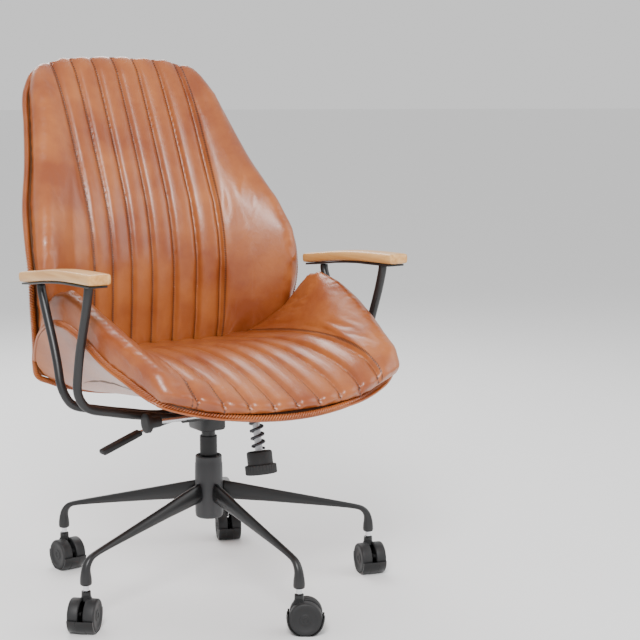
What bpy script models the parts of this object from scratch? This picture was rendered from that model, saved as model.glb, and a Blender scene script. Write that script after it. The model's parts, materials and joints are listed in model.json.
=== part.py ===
"""Swivel office chair.

A five-legged base on twin-wheel casters carries a short gas column. On top of it a tilt mechanism holds
a leather bucket seat, a wrap-round back and two bent-tube arms with wooden pads.

+X is the sitter's left, -Y the front and +Z up. While it is modelled, the column's axis is x = y = 0.
Lists of shape points are in millimetres and are marked so. Every other size is in metres.
"""

import math

import bmesh
import bpy
import numpy as np
from mathutils import Matrix, Vector

MM = 0.001

# ---------------------------------------------------------------- driving sizes
FIT_GAP = 0.0003  # air left between two pieces that touch
RUN_GAP = 0.0005  # radial play of a turning or sliding fit

# Casters
WHEEL_DIAMETER = 0.060
WHEEL_WIDTH = 0.020
WHEEL_SPACING = 0.009  # between the two treads
WHEEL_WALL = 0.004
WHEEL_FACETS = 16
HOOD_PLAY = 0.001
HOOD_WALL = 0.002
CASTER_TRAIL = 0.0115
CASTER_AXLE_RADIUS = 0.004
STEM_RADIUS = 0.0055
STEM_NECK = 0.010  # bright neck that shows under the leg
STEM_IN_LEG = 0.030
STEM_IN_HOOD = 0.026
SPIGOT_RADIUS = 0.0025  # of the stem inside the hood's web
HOOD_SKIRT = -0.003  # the hood's lower edge, from its axle
STEM_BOSS_WALL = 0.003
STEM_BOSS_RISE = 0.0068
CASTER_TURNS = (236.0, 165.0, 158.0, 186.0, 138.0)  # how far each caster's axle is turned, degrees

# Base
LEG_ANGLES = (270.0, 342.0, 54.0, 126.0, 198.0)
CASTER_CIRCLE = 0.318  # radius of the circle of stems
SOCKET_Z = 0.0795
SOCKET_RADIUS = 0.0112
HUB_RADIUS = 0.0266
HUB_WALL = 0.0033
HUB_BOTTOM = 0.1344
HUB_TOP = 0.254
LEG_ROOT_BOTTOM = 0.167
LEG_ROOT_TOP = 0.204
LEG_ROOT_WIDTH = 0.022
LEG_TIP_Z = 0.1325
LEG_TIP_HEIGHT = 0.0095
LEG_TIP_WIDTH = 0.016
LEG_BEND_RADIUS = 0.028

# Gas column
COLUMN_WALL = 0.003
COLUMN_FLOOR = 0.004
CYLINDER_RADIUS = 0.014
CYLINDER_BOTTOM = 0.150
CYLINDER_TOP = 0.330
CYLINDER_NECK_STEP = 0.0022  # the neck is this much slimmer all round
ROD_RADIUS = 0.005
ROD_TOP = 0.262
SLEEVE_TOP = 0.292
SLEEVE_WALL = 0.0022
BUSH_BOTTOM = 0.195
PIN_RADIUS = 0.003
PIN_BOTTOM = 0.302
PIN_STANDS_PROUD = 0.006
PIN_TRAVEL = 0.0031

# Mechanism
SEAT_SLOPE = 0.075  # the seat's underside drops this much per unit towards the rear
SEAT_UNDERSIDE = 0.360  # height of the underside above the column's axis
HOUSING_HALF_WIDTH = 0.026
HOUSING_FRONT = -0.024
HOUSING_REAR = 0.034
HOUSING_BOTTOM = 0.303
HOUSING_TOP = 0.3365
HOUSING_WALL = 0.0025
CHANNEL_HALF_WIDTH = 0.022
CHANNEL_WALL = 0.003
CHANNEL_DEPTH = 0.012
CHANNEL_FRONT = -0.197
PLATE_THICKNESS = 0.004
PLATE_HALF_WIDTH = 0.080
PLATE_FRONT = -0.195
PLATE_REAR = 0.094
TILT_Y = -0.040
TILT_Z = 0.346
AXLE_RADIUS = 0.004
EAR_THICKNESS = 0.003
BOLT_RADIUS = 0.007
BOLT_LEAN = 11.4  # degrees, the foot of the bolt stands forward of its head
BOLT_HEAD_Y = -0.172
KNOB_DROP = 0.0905  # from the underside of the seat plate to the knob's centre, along the bolt
KNOB_RADIUS = 0.023
KNOB_GRIP_RADIUS = 0.029
KNOB_HALF_LENGTH = 0.0215
SPRING_RADIUS = 0.01175  # to the middle of the wire
SPRING_WIRE = 0.0045
SPRING_TURNS = 3.75

# Controls
LEVER_RADIUS = 0.0035
LEVER_PIVOT_X = -0.020
PADDLE_LENGTH = 0.086
PADDLE_WIDTH = 0.022
PADDLE_THICKNESS = 0.009
LOCK_Y = -0.115
LOCK_ROD_RADIUS = 0.0042
LOCK_TIP_X = -0.006
LOCK_TRAVEL = 0.012
LOCK_KNOB_X = -0.187
LOCK_KNOB_RADIUS = 0.018

# Seat and back
SEAT_HALF_WIDTH = 0.292
BACK_HALF_WIDTH = 0.286
BACK_HEIGHT = 0.650  # rim to rim, bottom to top
COVER_THICKNESS = 0.003
SHELL_THICKNESS = 0.006
CUSHION_GAP = 0.0012  # between shell and cushion
RIM_BAND = 0.006  # the stitched band takes this much between a cover's edge and its cushion
SIDE_BULGE = 0.003  # how far a cushion's side stands out past its seam
BRACKET_WIDTH = 0.040
BRACKET_THICKNESS = 0.005

# Arms
ARM_TUBE_RADIUS = 0.008
ARM_CLEARANCE = 0.001
FRONT_TUBE_Y = -0.084
REAR_TUBE_Y = -0.023
SADDLE_INNER_X = 0.050
SADDLE_OUTER_X = 0.100
SADDLE_THICKNESS = 0.003
TUBE_INNER_X = 0.045
PAD_WIDTH = 0.043
PAD_THICKNESS = 0.0205
PAD_PLATE_THICKNESS = 0.004
PAD_PLATE_INSET = 0.004

# ---------------------------------------------------------------- sizes that follow
WHEEL_RADIUS = WHEEL_DIAMETER / 2
HOOD_RADIUS = WHEEL_RADIUS + HOOD_PLAY + HOOD_WALL
AXLE_DROP = STEM_NECK + STEM_BOSS_RISE + HOOD_RADIUS  # socket plane down to the caster's axle
COLUMN_RADIUS = HUB_RADIUS - HUB_WALL - FIT_GAP
COLUMN_BORE = COLUMN_RADIUS - COLUMN_WALL
COLUMN_BOTTOM = HUB_BOTTOM + 0.002
ARM_X = SEAT_HALF_WIDTH + SIDE_BULGE + ARM_CLEARANCE + ARM_TUBE_RADIUS
ARM_PAD_X = ARM_X + 0.0015
CYLINDER_NECK_RADIUS = CYLINDER_RADIUS - CYLINDER_NECK_STEP
TOTAL_LAYERS = COVER_THICKNESS + SHELL_THICKNESS + FIT_GAP + CUSHION_GAP


def underside(y):
    """Height of the seat's flat underside at y."""
    return SEAT_UNDERSIDE - SEAT_SLOPE * y


def plate_bottom(y):
    """Height of the seat plate's lower face at y."""
    return underside(y) - FIT_GAP - PLATE_THICKNESS


# ---------------------------------------------------------------- scene
for old in list(bpy.data.objects):
    bpy.data.objects.remove(old, do_unlink=True)

chair = bpy.data.collections.new("swivel_office_chair")
cutters = bpy.data.collections.new("cutters")
bpy.context.scene.collection.children.link(chair)
bpy.context.scene.collection.children.link(cutters)


def joint_empty(name, place, parent):
    """An empty on a joint's axis, which carries the pieces that move with it. Its place is kept in it."""
    made = bpy.data.objects.new(name, None)
    made.empty_display_size = 0.03
    made["place"] = tuple(place)
    made.parent = parent
    made.location = Vector(place) - Vector(parent["place"])
    chair.objects.link(made)
    return made


root = bpy.data.objects.new("chair_frame", None)
root["place"] = (0.0, 0.0, 0.0)
chair.objects.link(root)

bolt_axis = Vector((0, math.sin(math.radians(BOLT_LEAN)), math.cos(math.radians(BOLT_LEAN))))
bolt_head = Vector((0, BOLT_HEAD_Y, plate_bottom(BOLT_HEAD_Y) - 0.002))
knob_centre = bolt_head - bolt_axis * KNOB_DROP
lever_z = CYLINDER_TOP + PIN_STANDS_PROUD + FIT_GAP + LEVER_RADIUS

base = joint_empty("base", (0, 0, 0), root)
swivel = joint_empty("seat_swivel", (0, 0, HUB_BOTTOM), base)
height = joint_empty("seat_height", (0, 0, CYLINDER_BOTTOM), swivel)
tilt = joint_empty("seat_tilt", (0, TILT_Y, TILT_Z), height)
tension = joint_empty("tension_turn", knob_centre, tilt)
lever = joint_empty("lever_lift", (LEVER_PIVOT_X, 0, lever_z), height)
release = joint_empty("release_press", (0, 0, CYLINDER_TOP), height)
lock = joint_empty("tilt_lock", (LOCK_KNOB_X, LOCK_Y, underside(LOCK_Y)), height)


def finish_of(name, colour, roughness, metallic=0.0):
    """A Principled material of its own for one piece."""
    made = bpy.data.materials.new(name)
    made.use_nodes = True
    shader = made.node_tree.nodes["Principled BSDF"]
    shader.inputs["Base Color"].default_value = (*colour, 1.0)
    shader.inputs["Roughness"].default_value = roughness
    shader.inputs["Metallic"].default_value = metallic
    return made


BLACK_POWDER = ((0.015, 0.015, 0.016), 0.45, 0.0)
BLACK_PLASTIC = ((0.02, 0.02, 0.021), 0.5, 0.0)
CHROME = ((0.8, 0.8, 0.8), 0.08, 1.0)
STEEL = ((0.55, 0.55, 0.56), 0.3, 1.0)
LEATHER = ((0.33, 0.12, 0.035), 0.45, 0.0)
BEECH = ((0.72, 0.5, 0.3), 0.4, 0.0)
PLYWOOD = ((0.55, 0.4, 0.25), 0.6, 0.0)


def put(made, parent, look):
    """Files a finished piece in the chair's collection, on its joint, with a material of its own."""
    for holder in list(made.users_collection):
        holder.objects.unlink(made)
    chair.objects.link(made)
    made.parent = parent
    made.matrix_parent_inverse = Matrix.Translation(-Vector(parent["place"]))
    made.data.materials.clear()
    made.data.materials.append(finish_of(made.name, *look))
    return made


# ---------------------------------------------------------------- shape helpers
def mesh_object(name, mesh_data, smooth_angle=35.0):
    made = bpy.data.objects.new(name, mesh_data)
    chair.objects.link(made)
    mesh_data.shade_smooth()
    mesh_data.set_sharp_from_angle(angle=math.radians(smooth_angle))
    return made


def as_mesh(made):
    """Turns an object with modifiers, or a curve, into a plain mesh object that keeps its name and place."""
    bpy.context.view_layer.update()
    graph = bpy.context.evaluated_depsgraph_get()
    data = bpy.data.meshes.new_from_object(made.evaluated_get(graph))
    work = bmesh.new()
    work.from_mesh(data)
    bmesh.ops.remove_doubles(work, verts=work.verts, dist=1e-6)
    work.to_mesh(data)
    work.free()
    data.transform(made.matrix_world)
    name = made.name
    bpy.data.objects.remove(made, do_unlink=True)
    return mesh_object(name, data)


def turned(name, profile, steps, place=(0, 0, 0), axis=(0, 0, 1), phase=0.0, closed=False):
    """A turned piece. The profile of (radius, height) runs down its outer side, and closed joins its ends."""
    data = bpy.data.meshes.new(name)
    ends = [(i, i + 1) for i in range(len(profile) - 1)]
    if closed:
        ends.append((len(profile) - 1, 0))
    data.from_pydata([(r, 0, z) for r, z in profile], ends, [])
    made = bpy.data.objects.new(name, data)
    chair.objects.link(made)
    screw = made.modifiers.new("turn", "SCREW")
    screw.steps = steps
    screw.render_steps = steps
    screw.use_merge_vertices = True
    screw.merge_threshold = 0.00001
    lean = Vector((0, 0, 1)).rotation_difference(Vector(axis)).to_matrix().to_4x4()
    made.matrix_world = Matrix.Translation(place) @ lean @ Matrix.Rotation(phase, 4, "Z")
    return as_mesh(made)


def rod(name, start, end, radius, sides=16):
    """A plain round bar between two points."""
    start, end = Vector(start), Vector(end)
    length = (end - start).length
    profile = [(0, length), (radius, length), (radius, 0), (0, 0)]
    return turned(name, profile, sides, start, (end - start).normalized())


def block(name, low, high, bevel=0.0, segments=2):
    """A box between two corners, with rounded edges if a bevel is given."""
    data = bpy.data.meshes.new(name)
    work = bmesh.new()
    size = [b - a for a, b in zip(low, high)]
    middle = [(a + b) / 2 for a, b in zip(low, high)]
    bmesh.ops.create_cube(work, size=1.0, matrix=Matrix.Translation(middle) @ Matrix.Diagonal((*size, 1)))
    work.to_mesh(data)
    work.free()
    made = mesh_object(name, data)
    if bevel:
        rounding = made.modifiers.new("edges", "BEVEL")
        rounding.width = bevel
        rounding.segments = segments
        made = as_mesh(made)
    return made


def side_plate(name, outline, low_x, high_x):
    """A flat outline of (y, z) points, as thick as from low_x to high_x."""
    curve = bpy.data.curves.new(name, "CURVE")
    curve.dimensions = "2D"
    curve.fill_mode = "BOTH"
    curve.extrude = (high_x - low_x) / 2
    spline = curve.splines.new("POLY")
    spline.points.add(len(outline) - 1)
    for point, (y, z) in zip(spline.points, outline):
        point.co = (y, z, 0, 1)
    spline.use_cyclic_u = True
    made = bpy.data.objects.new(name, curve)
    chair.objects.link(made)
    stand_up = Matrix(((0, 0, 1, (low_x + high_x) / 2), (1, 0, 0, 0), (0, 1, 0, 0), (0, 0, 0, 1)))
    made.matrix_world = stand_up
    return as_mesh(made)


def smooth_path(points, per_span):
    """Points along a smooth curve that passes through every given point."""
    given = [Vector(p) for p in points]
    given = [2 * given[0] - given[1], *given, 2 * given[-1] - given[-2]]
    path = []
    for a, b, c, d in zip(given, given[1:], given[2:], given[3:]):
        for step in range(per_span):
            t = step / per_span
            square = (2 * a - 5 * b + 4 * c - d) * t**2
            cube = (3 * b - a - 3 * c + d) * t**3
            path.append(0.5 * (2 * b + (c - a) * t + square + cube))
    path.append(given[-2])
    return path


def tube(name, path, radius, resolution=2):
    """A bar that follows a path, with closed ends."""
    curve = bpy.data.curves.new(name, "CURVE")
    curve.dimensions = "3D"
    curve.bevel_depth = radius
    curve.bevel_resolution = resolution
    curve.use_fill_caps = True
    spline = curve.splines.new("POLY")
    spline.points.add(len(path) - 1)
    for point, place in zip(spline.points, path):
        point.co = (*place, 1)
    made = bpy.data.objects.new(name, curve)
    chair.objects.link(made)
    return as_mesh(made)


def combine(target, other, operation, solver):
    """One Boolean, with its tool kept in the cutters' collection."""
    chair.objects.unlink(other)
    cutters.objects.link(other)
    other.hide_render = True
    other.display_type = "WIRE"
    step = target.modifiers.new(operation.lower(), "BOOLEAN")
    step.operation = operation
    step.solver = solver
    step.object = other
    return as_mesh(target)


def cut(target, other, solver="EXACT"):
    return combine(target, other, "DIFFERENCE", solver)


def join(target, other):
    return combine(target, other, "UNION", "EXACT")


def closed_loft(name, outer, inner):
    """A closed solid between two grids of points that have the same rows and columns."""
    rows, columns = outer.shape[:2]
    verts = np.concatenate([outer.reshape(-1, 3), inner.reshape(-1, 3)])
    faces = []

    def at(layer, row, column):
        return layer * rows * columns + row * columns + column

    for r in range(rows - 1):
        for c in range(columns - 1):
            for triangle in (((r, c), (r, c + 1), (r + 1, c + 1)), ((r, c), (r + 1, c + 1), (r + 1, c))):
                faces.append([at(0, *corner) for corner in triangle])
                faces.append([at(1, *corner) for corner in reversed(triangle)])
    edge = [(0, c) for c in range(columns - 1)]
    edge += [(r, columns - 1) for r in range(rows - 1)]
    edge += [(rows - 1, c) for c in range(columns - 1, 0, -1)]
    edge += [(r, 0) for r in range(rows - 1, 0, -1)]
    for a, b in zip(edge, edge[1:] + edge[:1]):
        faces.append([at(0, *b), at(0, *a), at(1, *a)])
        faces.append([at(0, *b), at(1, *a), at(1, *b)])
    data = bpy.data.meshes.new(name)
    data.from_pydata(verts.tolist(), [], faces)
    work = bmesh.new()
    work.from_mesh(data)
    bmesh.ops.recalc_face_normals(work, faces=work.faces)
    work.to_mesh(data)
    work.free()
    return mesh_object(name, data, 60.0)


# ---------------------------------------------------------------- base
def leg_section(width, tall, ridge, count=8):
    """Outline across a leg: an oval that is narrower towards its top by ridge."""
    outline = []
    for i in range(count):
        turn = 2 * math.pi * (i + 0.5) / count
        across = width / 2 * math.copysign(abs(math.cos(turn)) ** 0.75, math.cos(turn))
        up = tall / 2 * math.copysign(abs(math.sin(turn)) ** 0.75, math.sin(turn))
        outline.append((across * (1 - ridge * (up / tall + 0.5)), up))
    return outline


def leg_stations():
    """(radius, height, direction, width, tall, ridge) down a leg, from the hub to its socket."""
    root_x = HUB_RADIUS + 2 * FIT_GAP
    root_z = (LEG_ROOT_BOTTOM + LEG_ROOT_TOP) / 2
    bend_x = CASTER_CIRCLE - LEG_BEND_RADIUS
    lean = math.atan2(LEG_TIP_Z - root_z, bend_x - root_x)
    found = []
    for share in (0.0, 0.3, 0.65, 1.0):
        found.append(
            (
                root_x + share * (bend_x - root_x),
                root_z + share * (LEG_TIP_Z - root_z),
                0.0 if share == 0 else lean,
                LEG_ROOT_WIDTH + share * (LEG_TIP_WIDTH - LEG_ROOT_WIDTH),
                LEG_ROOT_TOP - LEG_ROOT_BOTTOM
                + share * (LEG_TIP_HEIGHT - LEG_ROOT_TOP + LEG_ROOT_BOTTOM),
                0.45,
            )
        )
    for share in (0.4, 0.75, 1.0):
        turn = lean - share * (math.pi / 2 + lean)
        swing = share * math.pi / 2
        wide = LEG_TIP_WIDTH + share * 0.001
        tall = LEG_TIP_HEIGHT + share * (wide - LEG_TIP_HEIGHT)
        found.append(
            (
                bend_x + LEG_BEND_RADIUS * math.sin(swing),
                LEG_TIP_Z - LEG_BEND_RADIUS * (1 - math.cos(swing)),
                turn,
                wide,
                tall,
                0.45 * (1 - share),
            )
        )
    flare = ((0.0165, SOCKET_RADIUS - 0.001), (0.0025, SOCKET_RADIUS), (0.0, SOCKET_RADIUS - 0.002))
    for up, radius in flare:
        found.append((CASTER_CIRCLE, SOCKET_Z + up, -math.pi / 2, 2 * radius, 2 * radius, 0.0))
    return found


def leg(number, angle):
    """One leg, lofted from its deep root to the round socket and bored for the caster's stem."""
    rings = []
    for x, z, lean, width, tall, ridge in leg_stations():
        ring = []
        for across, up in leg_section(width, tall, ridge):
            ring.append((x - up * math.sin(lean), across, z + up * math.cos(lean)))
        rings.append(ring)
    count = len(rings[0])
    verts = [point for ring in rings for point in ring]
    faces = [list(range(count)), list(range(len(verts) - 1, len(verts) - 1 - count, -1))]
    for r in range(len(rings) - 1):
        for i in range(count):
            j = (i + 1) % count
            faces.append([r * count + i, (r + 1) * count + i, (r + 1) * count + j, r * count + j])
    data = bpy.data.meshes.new(f"leg_{number}")
    data.from_pydata(verts, [], faces)
    work = bmesh.new()
    work.from_mesh(data)
    bmesh.ops.recalc_face_normals(work, faces=work.faces)
    work.to_mesh(data)
    work.free()
    made = mesh_object(f"leg_{number}", data)
    bore = rod(
        f"leg_bore_{number}",
        (CASTER_CIRCLE, 0, SOCKET_Z - 0.01),
        (CASTER_CIRCLE, 0, SOCKET_Z + STEM_IN_LEG + FIT_GAP),
        STEM_RADIUS + FIT_GAP,
        12,
    )
    made = cut(made, bore)
    made.data.transform(Matrix.Rotation(math.radians(angle), 4, "Z"))
    return put(made, base, BLACK_POWDER)


hub_profile = [
    (HUB_RADIUS - HUB_WALL, HUB_TOP),
    (HUB_RADIUS - 0.0016, HUB_TOP),
    (HUB_RADIUS - 0.0002, HUB_TOP - 0.003),
    (HUB_RADIUS, LEG_ROOT_TOP),
    (HUB_RADIUS, LEG_ROOT_BOTTOM),
    (HUB_RADIUS - 0.002, HUB_BOTTOM + 0.004),
    (HUB_RADIUS - HUB_WALL, HUB_BOTTOM),
]
put(turned("hub", hub_profile, 20, closed=True), base, ((0.03, 0.03, 0.032), 0.35, 0.2))

for leg_number, leg_angle in enumerate(LEG_ANGLES, 1):
    leg(leg_number, leg_angle)

# ---------------------------------------------------------------- gas column
column_profile = [
    (0, COLUMN_BOTTOM + COLUMN_FLOOR),
    (COLUMN_BORE, COLUMN_BOTTOM + COLUMN_FLOOR),
    (COLUMN_BORE, HUB_TOP - 0.001),
    (COLUMN_RADIUS, HUB_TOP - 0.001),
    (COLUMN_RADIUS, COLUMN_BOTTOM),
    (0, COLUMN_BOTTOM),
]
put(turned("column_outer_tube", column_profile, 20), base, BLACK_POWDER)


def ring(name, inner, outer, low, high, steps=20):
    """A plain turned ring."""
    profile = [(inner, high), (outer, high), (outer, low), (inner, low)]
    return turned(name, profile, steps, closed=True)


facet_room = 1 / math.cos(math.pi / 20)  # a 20-sided bore clears a round bar of this share less
bush_bore = (CYLINDER_RADIUS + RUN_GAP) * facet_room
bush_outer = COLUMN_BORE * math.cos(math.pi / 20) - FIT_GAP
put(ring("guide_bush", bush_bore, bush_outer, BUSH_BOTTOM, HUB_TOP - 0.002), base, BLACK_PLASTIC)

bearing_bottom = COLUMN_BOTTOM + COLUMN_FLOOR + FIT_GAP
bearing_top = bearing_bottom + 0.004
put(ring("thrust_bearing", ROD_RADIUS, ROD_RADIUS + 0.007, bearing_bottom, bearing_top), swivel, STEEL)
put(rod("piston_rod", (0, 0, bearing_top + FIT_GAP), (0, 0, ROD_TOP), ROD_RADIUS), swivel, CHROME)

rod_bore = (ROD_RADIUS + RUN_GAP) * facet_room
pin_bore = (PIN_RADIUS + RUN_GAP) * facet_room
cylinder_profile = [
    (0, PIN_BOTTOM - PIN_TRAVEL - FIT_GAP),
    (pin_bore, PIN_BOTTOM - PIN_TRAVEL - FIT_GAP),
    (pin_bore, CYLINDER_TOP),
    (CYLINDER_NECK_RADIUS - 0.001, CYLINDER_TOP),
    (CYLINDER_NECK_RADIUS, CYLINDER_TOP - 0.002),
    (CYLINDER_NECK_RADIUS + 0.0012, HOUSING_BOTTOM),
    (CYLINDER_RADIUS, HOUSING_BOTTOM - 0.018),
    (CYLINDER_RADIUS, CYLINDER_BOTTOM),
    (rod_bore, CYLINDER_BOTTOM),
    (rod_bore, PIN_BOTTOM - 0.014),
    (0, PIN_BOTTOM - 0.014),
]
put(turned("gas_cylinder", cylinder_profile, 20), height, BLACK_POWDER)
sleeve_bore = (CYLINDER_RADIUS + FIT_GAP) * facet_room
sleeve = ring("column_sleeve", sleeve_bore, sleeve_bore + SLEEVE_WALL, HUB_TOP + 0.0015, SLEEVE_TOP)
put(sleeve, height, BLACK_PLASTIC)
pin = rod("release_pin", (0, 0, PIN_BOTTOM), (0, 0, CYLINDER_TOP + PIN_STANDS_PROUD), PIN_RADIUS, 12)
put(pin, release, STEEL)

# ---------------------------------------------------------------- mechanism housing
housing = block(
    "mechanism_housing",
    (-HOUSING_HALF_WIDTH, HOUSING_FRONT, HOUSING_BOTTOM),
    (HOUSING_HALF_WIDTH, HOUSING_REAR, HOUSING_TOP),
)
chamfer = housing.modifiers.new("pressed edges", "BEVEL")
chamfer.width = 0.006
chamfer.segments = 2
housing = as_mesh(housing)
housing = cut(
    housing,
    block("housing_top_trim", (-0.05, -0.05, HOUSING_TOP - 0.004), (0.05, 0.06, HOUSING_TOP + 0.01)),
)
housing = join(
    housing,
    block(
        "housing_rim",
        (-HOUSING_HALF_WIDTH, HOUSING_FRONT, HOUSING_TOP - 0.010),
        (HOUSING_HALF_WIDTH, HOUSING_REAR, HOUSING_TOP),
    ),
)
housing = cut(
    housing,
    block(
        "housing_hollow",
        (-HOUSING_HALF_WIDTH + HOUSING_WALL, HOUSING_FRONT + HOUSING_WALL, HOUSING_BOTTOM + HOUSING_WALL),
        (HOUSING_HALF_WIDTH - HOUSING_WALL, HOUSING_REAR - HOUSING_WALL, HOUSING_TOP + 0.02),
    ),
)
boss = rod("housing_rear_boss", (0, HOUSING_REAR - 0.001, 0.314), (0, HOUSING_REAR + 0.006, 0.314), 0.008, 12)
housing = join(housing, boss)


def channel_floor(y):
    """Height of the channel's lower face at y."""
    return plate_bottom(y) - FIT_GAP - CHANNEL_DEPTH


channel_outline = [
    (CHANNEL_FRONT, plate_bottom(CHANNEL_FRONT) - 2 * FIT_GAP),
    (TILT_Y - 0.004, plate_bottom(TILT_Y - 0.004) - 2 * FIT_GAP),
    (TILT_Y + 0.006, TILT_Z + 0.006),
    (HOUSING_FRONT + 0.006, TILT_Z + 0.003),
    (HOUSING_FRONT + 0.006, HOUSING_TOP - 0.012),
    (TILT_Y, TILT_Z - 0.009),
    (TILT_Y - 0.020, channel_floor(TILT_Y - 0.020)),
    (CHANNEL_FRONT, channel_floor(CHANNEL_FRONT)),
]
channel = side_plate("channel_body", channel_outline, -CHANNEL_HALF_WIDTH, CHANNEL_HALF_WIDTH)
housing = join(housing, channel)
channel_hollow = [
    (CHANNEL_FRONT + CHANNEL_WALL, plate_bottom(CHANNEL_FRONT) + 0.01),
    (HOUSING_FRONT + HOUSING_WALL + 0.001, plate_bottom(HOUSING_FRONT) + 0.01),
    (HOUSING_FRONT + HOUSING_WALL + 0.001, HOUSING_TOP - 0.006),
    (TILT_Y, TILT_Z - 0.006),
    (TILT_Y - 0.020, channel_floor(TILT_Y - 0.020) + CHANNEL_WALL),
    (CHANNEL_FRONT + CHANNEL_WALL, channel_floor(CHANNEL_FRONT + CHANNEL_WALL) + CHANNEL_WALL),
]
inner_half = CHANNEL_HALF_WIDTH - CHANNEL_WALL
housing = cut(housing, side_plate("channel_hollow", channel_hollow, -inner_half, inner_half))

# The neck of the gas cylinder sits in a tapered socket.
socket = rod("neck_socket", (0, 0, HOUSING_BOTTOM), (0, 0, CYLINDER_TOP - 0.003), 0.0165, 20)
housing = join(housing, socket)
neck_room = FIT_GAP * 1.5
taper_profile = [
    (0, CYLINDER_TOP + 0.01),
    ((CYLINDER_NECK_RADIUS + neck_room) * facet_room, CYLINDER_TOP + 0.01),
    ((CYLINDER_NECK_RADIUS + neck_room) * facet_room, CYLINDER_TOP - 0.002),
    ((CYLINDER_NECK_RADIUS + 0.0012 + neck_room) * facet_room, HOUSING_BOTTOM),
    ((CYLINDER_NECK_RADIUS + 0.0017 + neck_room) * facet_room, HOUSING_BOTTOM - 0.004),
    (0, HOUSING_BOTTOM - 0.004),
]
housing = cut(housing, turned("neck_bore", taper_profile, 20))
axle_bore = AXLE_RADIUS + RUN_GAP
housing = cut(housing, rod("axle_bore", (-0.05, TILT_Y, TILT_Z), (0.05, TILT_Y, TILT_Z), axle_bore, 12))
notch_high = (-HOUSING_HALF_WIDTH + 0.006, 0.0085, lever_z + 0.02)
housing = cut(housing, block("lever_notch", (-0.04, -0.0075, lever_z - 0.009), notch_high))
lock_z = (channel_floor(LOCK_Y) + plate_bottom(LOCK_Y)) / 2
lock_bore = LOCK_ROD_RADIUS + RUN_GAP
lock_reach = LOCK_TIP_X + LOCK_TRAVEL + RUN_GAP
housing = cut(housing, rod("lock_bore", (-0.05, LOCK_Y, lock_z), (lock_reach, LOCK_Y, lock_z), lock_bore, 12))
slot_half_width = BOLT_RADIUS + 0.001
slot = block(
    "bolt_slot",
    (-slot_half_width, CHANNEL_FRONT + 0.0055, channel_floor(BOLT_HEAD_Y) - 0.01),
    (slot_half_width, BOLT_HEAD_Y + BOLT_RADIUS + 0.0005, channel_floor(BOLT_HEAD_Y) + 0.009),
)
housing = cut(housing, slot)
put(housing, height, BLACK_POWDER)

# ---------------------------------------------------------------- axle, seat plate, tension screw
axle_end = HOUSING_HALF_WIDTH + 0.001 + EAR_THICKNESS + 0.001
axle_profile = [
    (0, axle_end + 0.003),
    (AXLE_RADIUS + 0.002, axle_end + 0.003),
    (AXLE_RADIUS + 0.002, axle_end),
    (AXLE_RADIUS, axle_end),
    (AXLE_RADIUS, -axle_end),
    (AXLE_RADIUS + 0.002, -axle_end),
    (AXLE_RADIUS + 0.002, -axle_end - 0.003),
    (0, -axle_end - 0.003),
]
put(turned("tilt_axle", axle_profile, 14, (0, TILT_Y, TILT_Z), (1, 0, 0)), height, STEEL)

plate_outline = [
    (PLATE_FRONT, plate_bottom(PLATE_FRONT)),
    (PLATE_FRONT, plate_bottom(PLATE_FRONT) + PLATE_THICKNESS),
    (PLATE_REAR, plate_bottom(PLATE_REAR) + PLATE_THICKNESS),
    (PLATE_REAR, plate_bottom(PLATE_REAR)),
]
seat_plate = side_plate("seat_plate", plate_outline, -PLATE_HALF_WIDTH, PLATE_HALF_WIDTH)
ear_inner = HOUSING_HALF_WIDTH + 0.001
ear_outline = [
    (TILT_Y - 0.018, plate_bottom(TILT_Y - 0.018) + PLATE_THICKNESS / 2),
    (TILT_Y + 0.018, plate_bottom(TILT_Y + 0.018) + PLATE_THICKNESS / 2),
    (TILT_Y + 0.008, TILT_Z - 0.008),
    (TILT_Y - 0.008, TILT_Z - 0.008),
]
for side in (-1, 1):
    edges = sorted((side * ear_inner, side * (ear_inner + EAR_THICKNESS)))
    seat_plate = join(seat_plate, side_plate(f"ear_{side}", ear_outline, *edges))
seat_plate = cut(seat_plate, rod("ear_bore", (-0.06, TILT_Y, TILT_Z), (0.06, TILT_Y, TILT_Z), axle_bore, 12))
put(seat_plate, tilt, BLACK_POWDER)

knob_floor = KNOB_HALF_LENGTH - 0.008
bolt_end = knob_centre - bolt_axis * (knob_floor - FIT_GAP)
put(rod("tension_bolt", bolt_end, bolt_head, BOLT_RADIUS, 16), tilt, STEEL)
knob_profile = [
    (BOLT_RADIUS + RUN_GAP, KNOB_HALF_LENGTH),
    (KNOB_RADIUS - 0.003, KNOB_HALF_LENGTH),
    (KNOB_RADIUS, KNOB_HALF_LENGTH - 0.003),
    (KNOB_RADIUS, -KNOB_HALF_LENGTH + 0.019),
    (KNOB_GRIP_RADIUS, -KNOB_HALF_LENGTH + 0.017),
    (KNOB_GRIP_RADIUS, -KNOB_HALF_LENGTH + 0.002),
    (KNOB_GRIP_RADIUS - 0.002, -KNOB_HALF_LENGTH),
    (0, -KNOB_HALF_LENGTH),
]
knob_profile = [(0, -knob_floor), (BOLT_RADIUS + RUN_GAP, -knob_floor)] + knob_profile
put(turned("tension_knob", knob_profile, 24, knob_centre, bolt_axis), tension, BLACK_PLASTIC)

spring_low = KNOB_HALF_LENGTH + SPRING_WIRE / 2 + RUN_GAP
spring_high = (channel_floor(BOLT_HEAD_Y) - knob_centre.z) / bolt_axis.z - SPRING_WIRE / 2 - 0.0022
turn_points = 10
coil = []
lean_matrix = Vector((0, 0, 1)).rotation_difference(bolt_axis).to_matrix()
for i in range(int(SPRING_TURNS * turn_points) + 1):
    share = i / (SPRING_TURNS * turn_points)
    turn = 2 * math.pi * i / turn_points
    flat = Vector((SPRING_RADIUS * math.cos(turn), SPRING_RADIUS * math.sin(turn), 0))
    along = spring_low + share * (spring_high - spring_low)
    coil.append(knob_centre + lean_matrix @ flat + bolt_axis * along)
put(tube("tension_spring", coil, SPRING_WIRE / 2), height, ((0.02, 0.02, 0.02), 0.35, 0.3))

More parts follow.
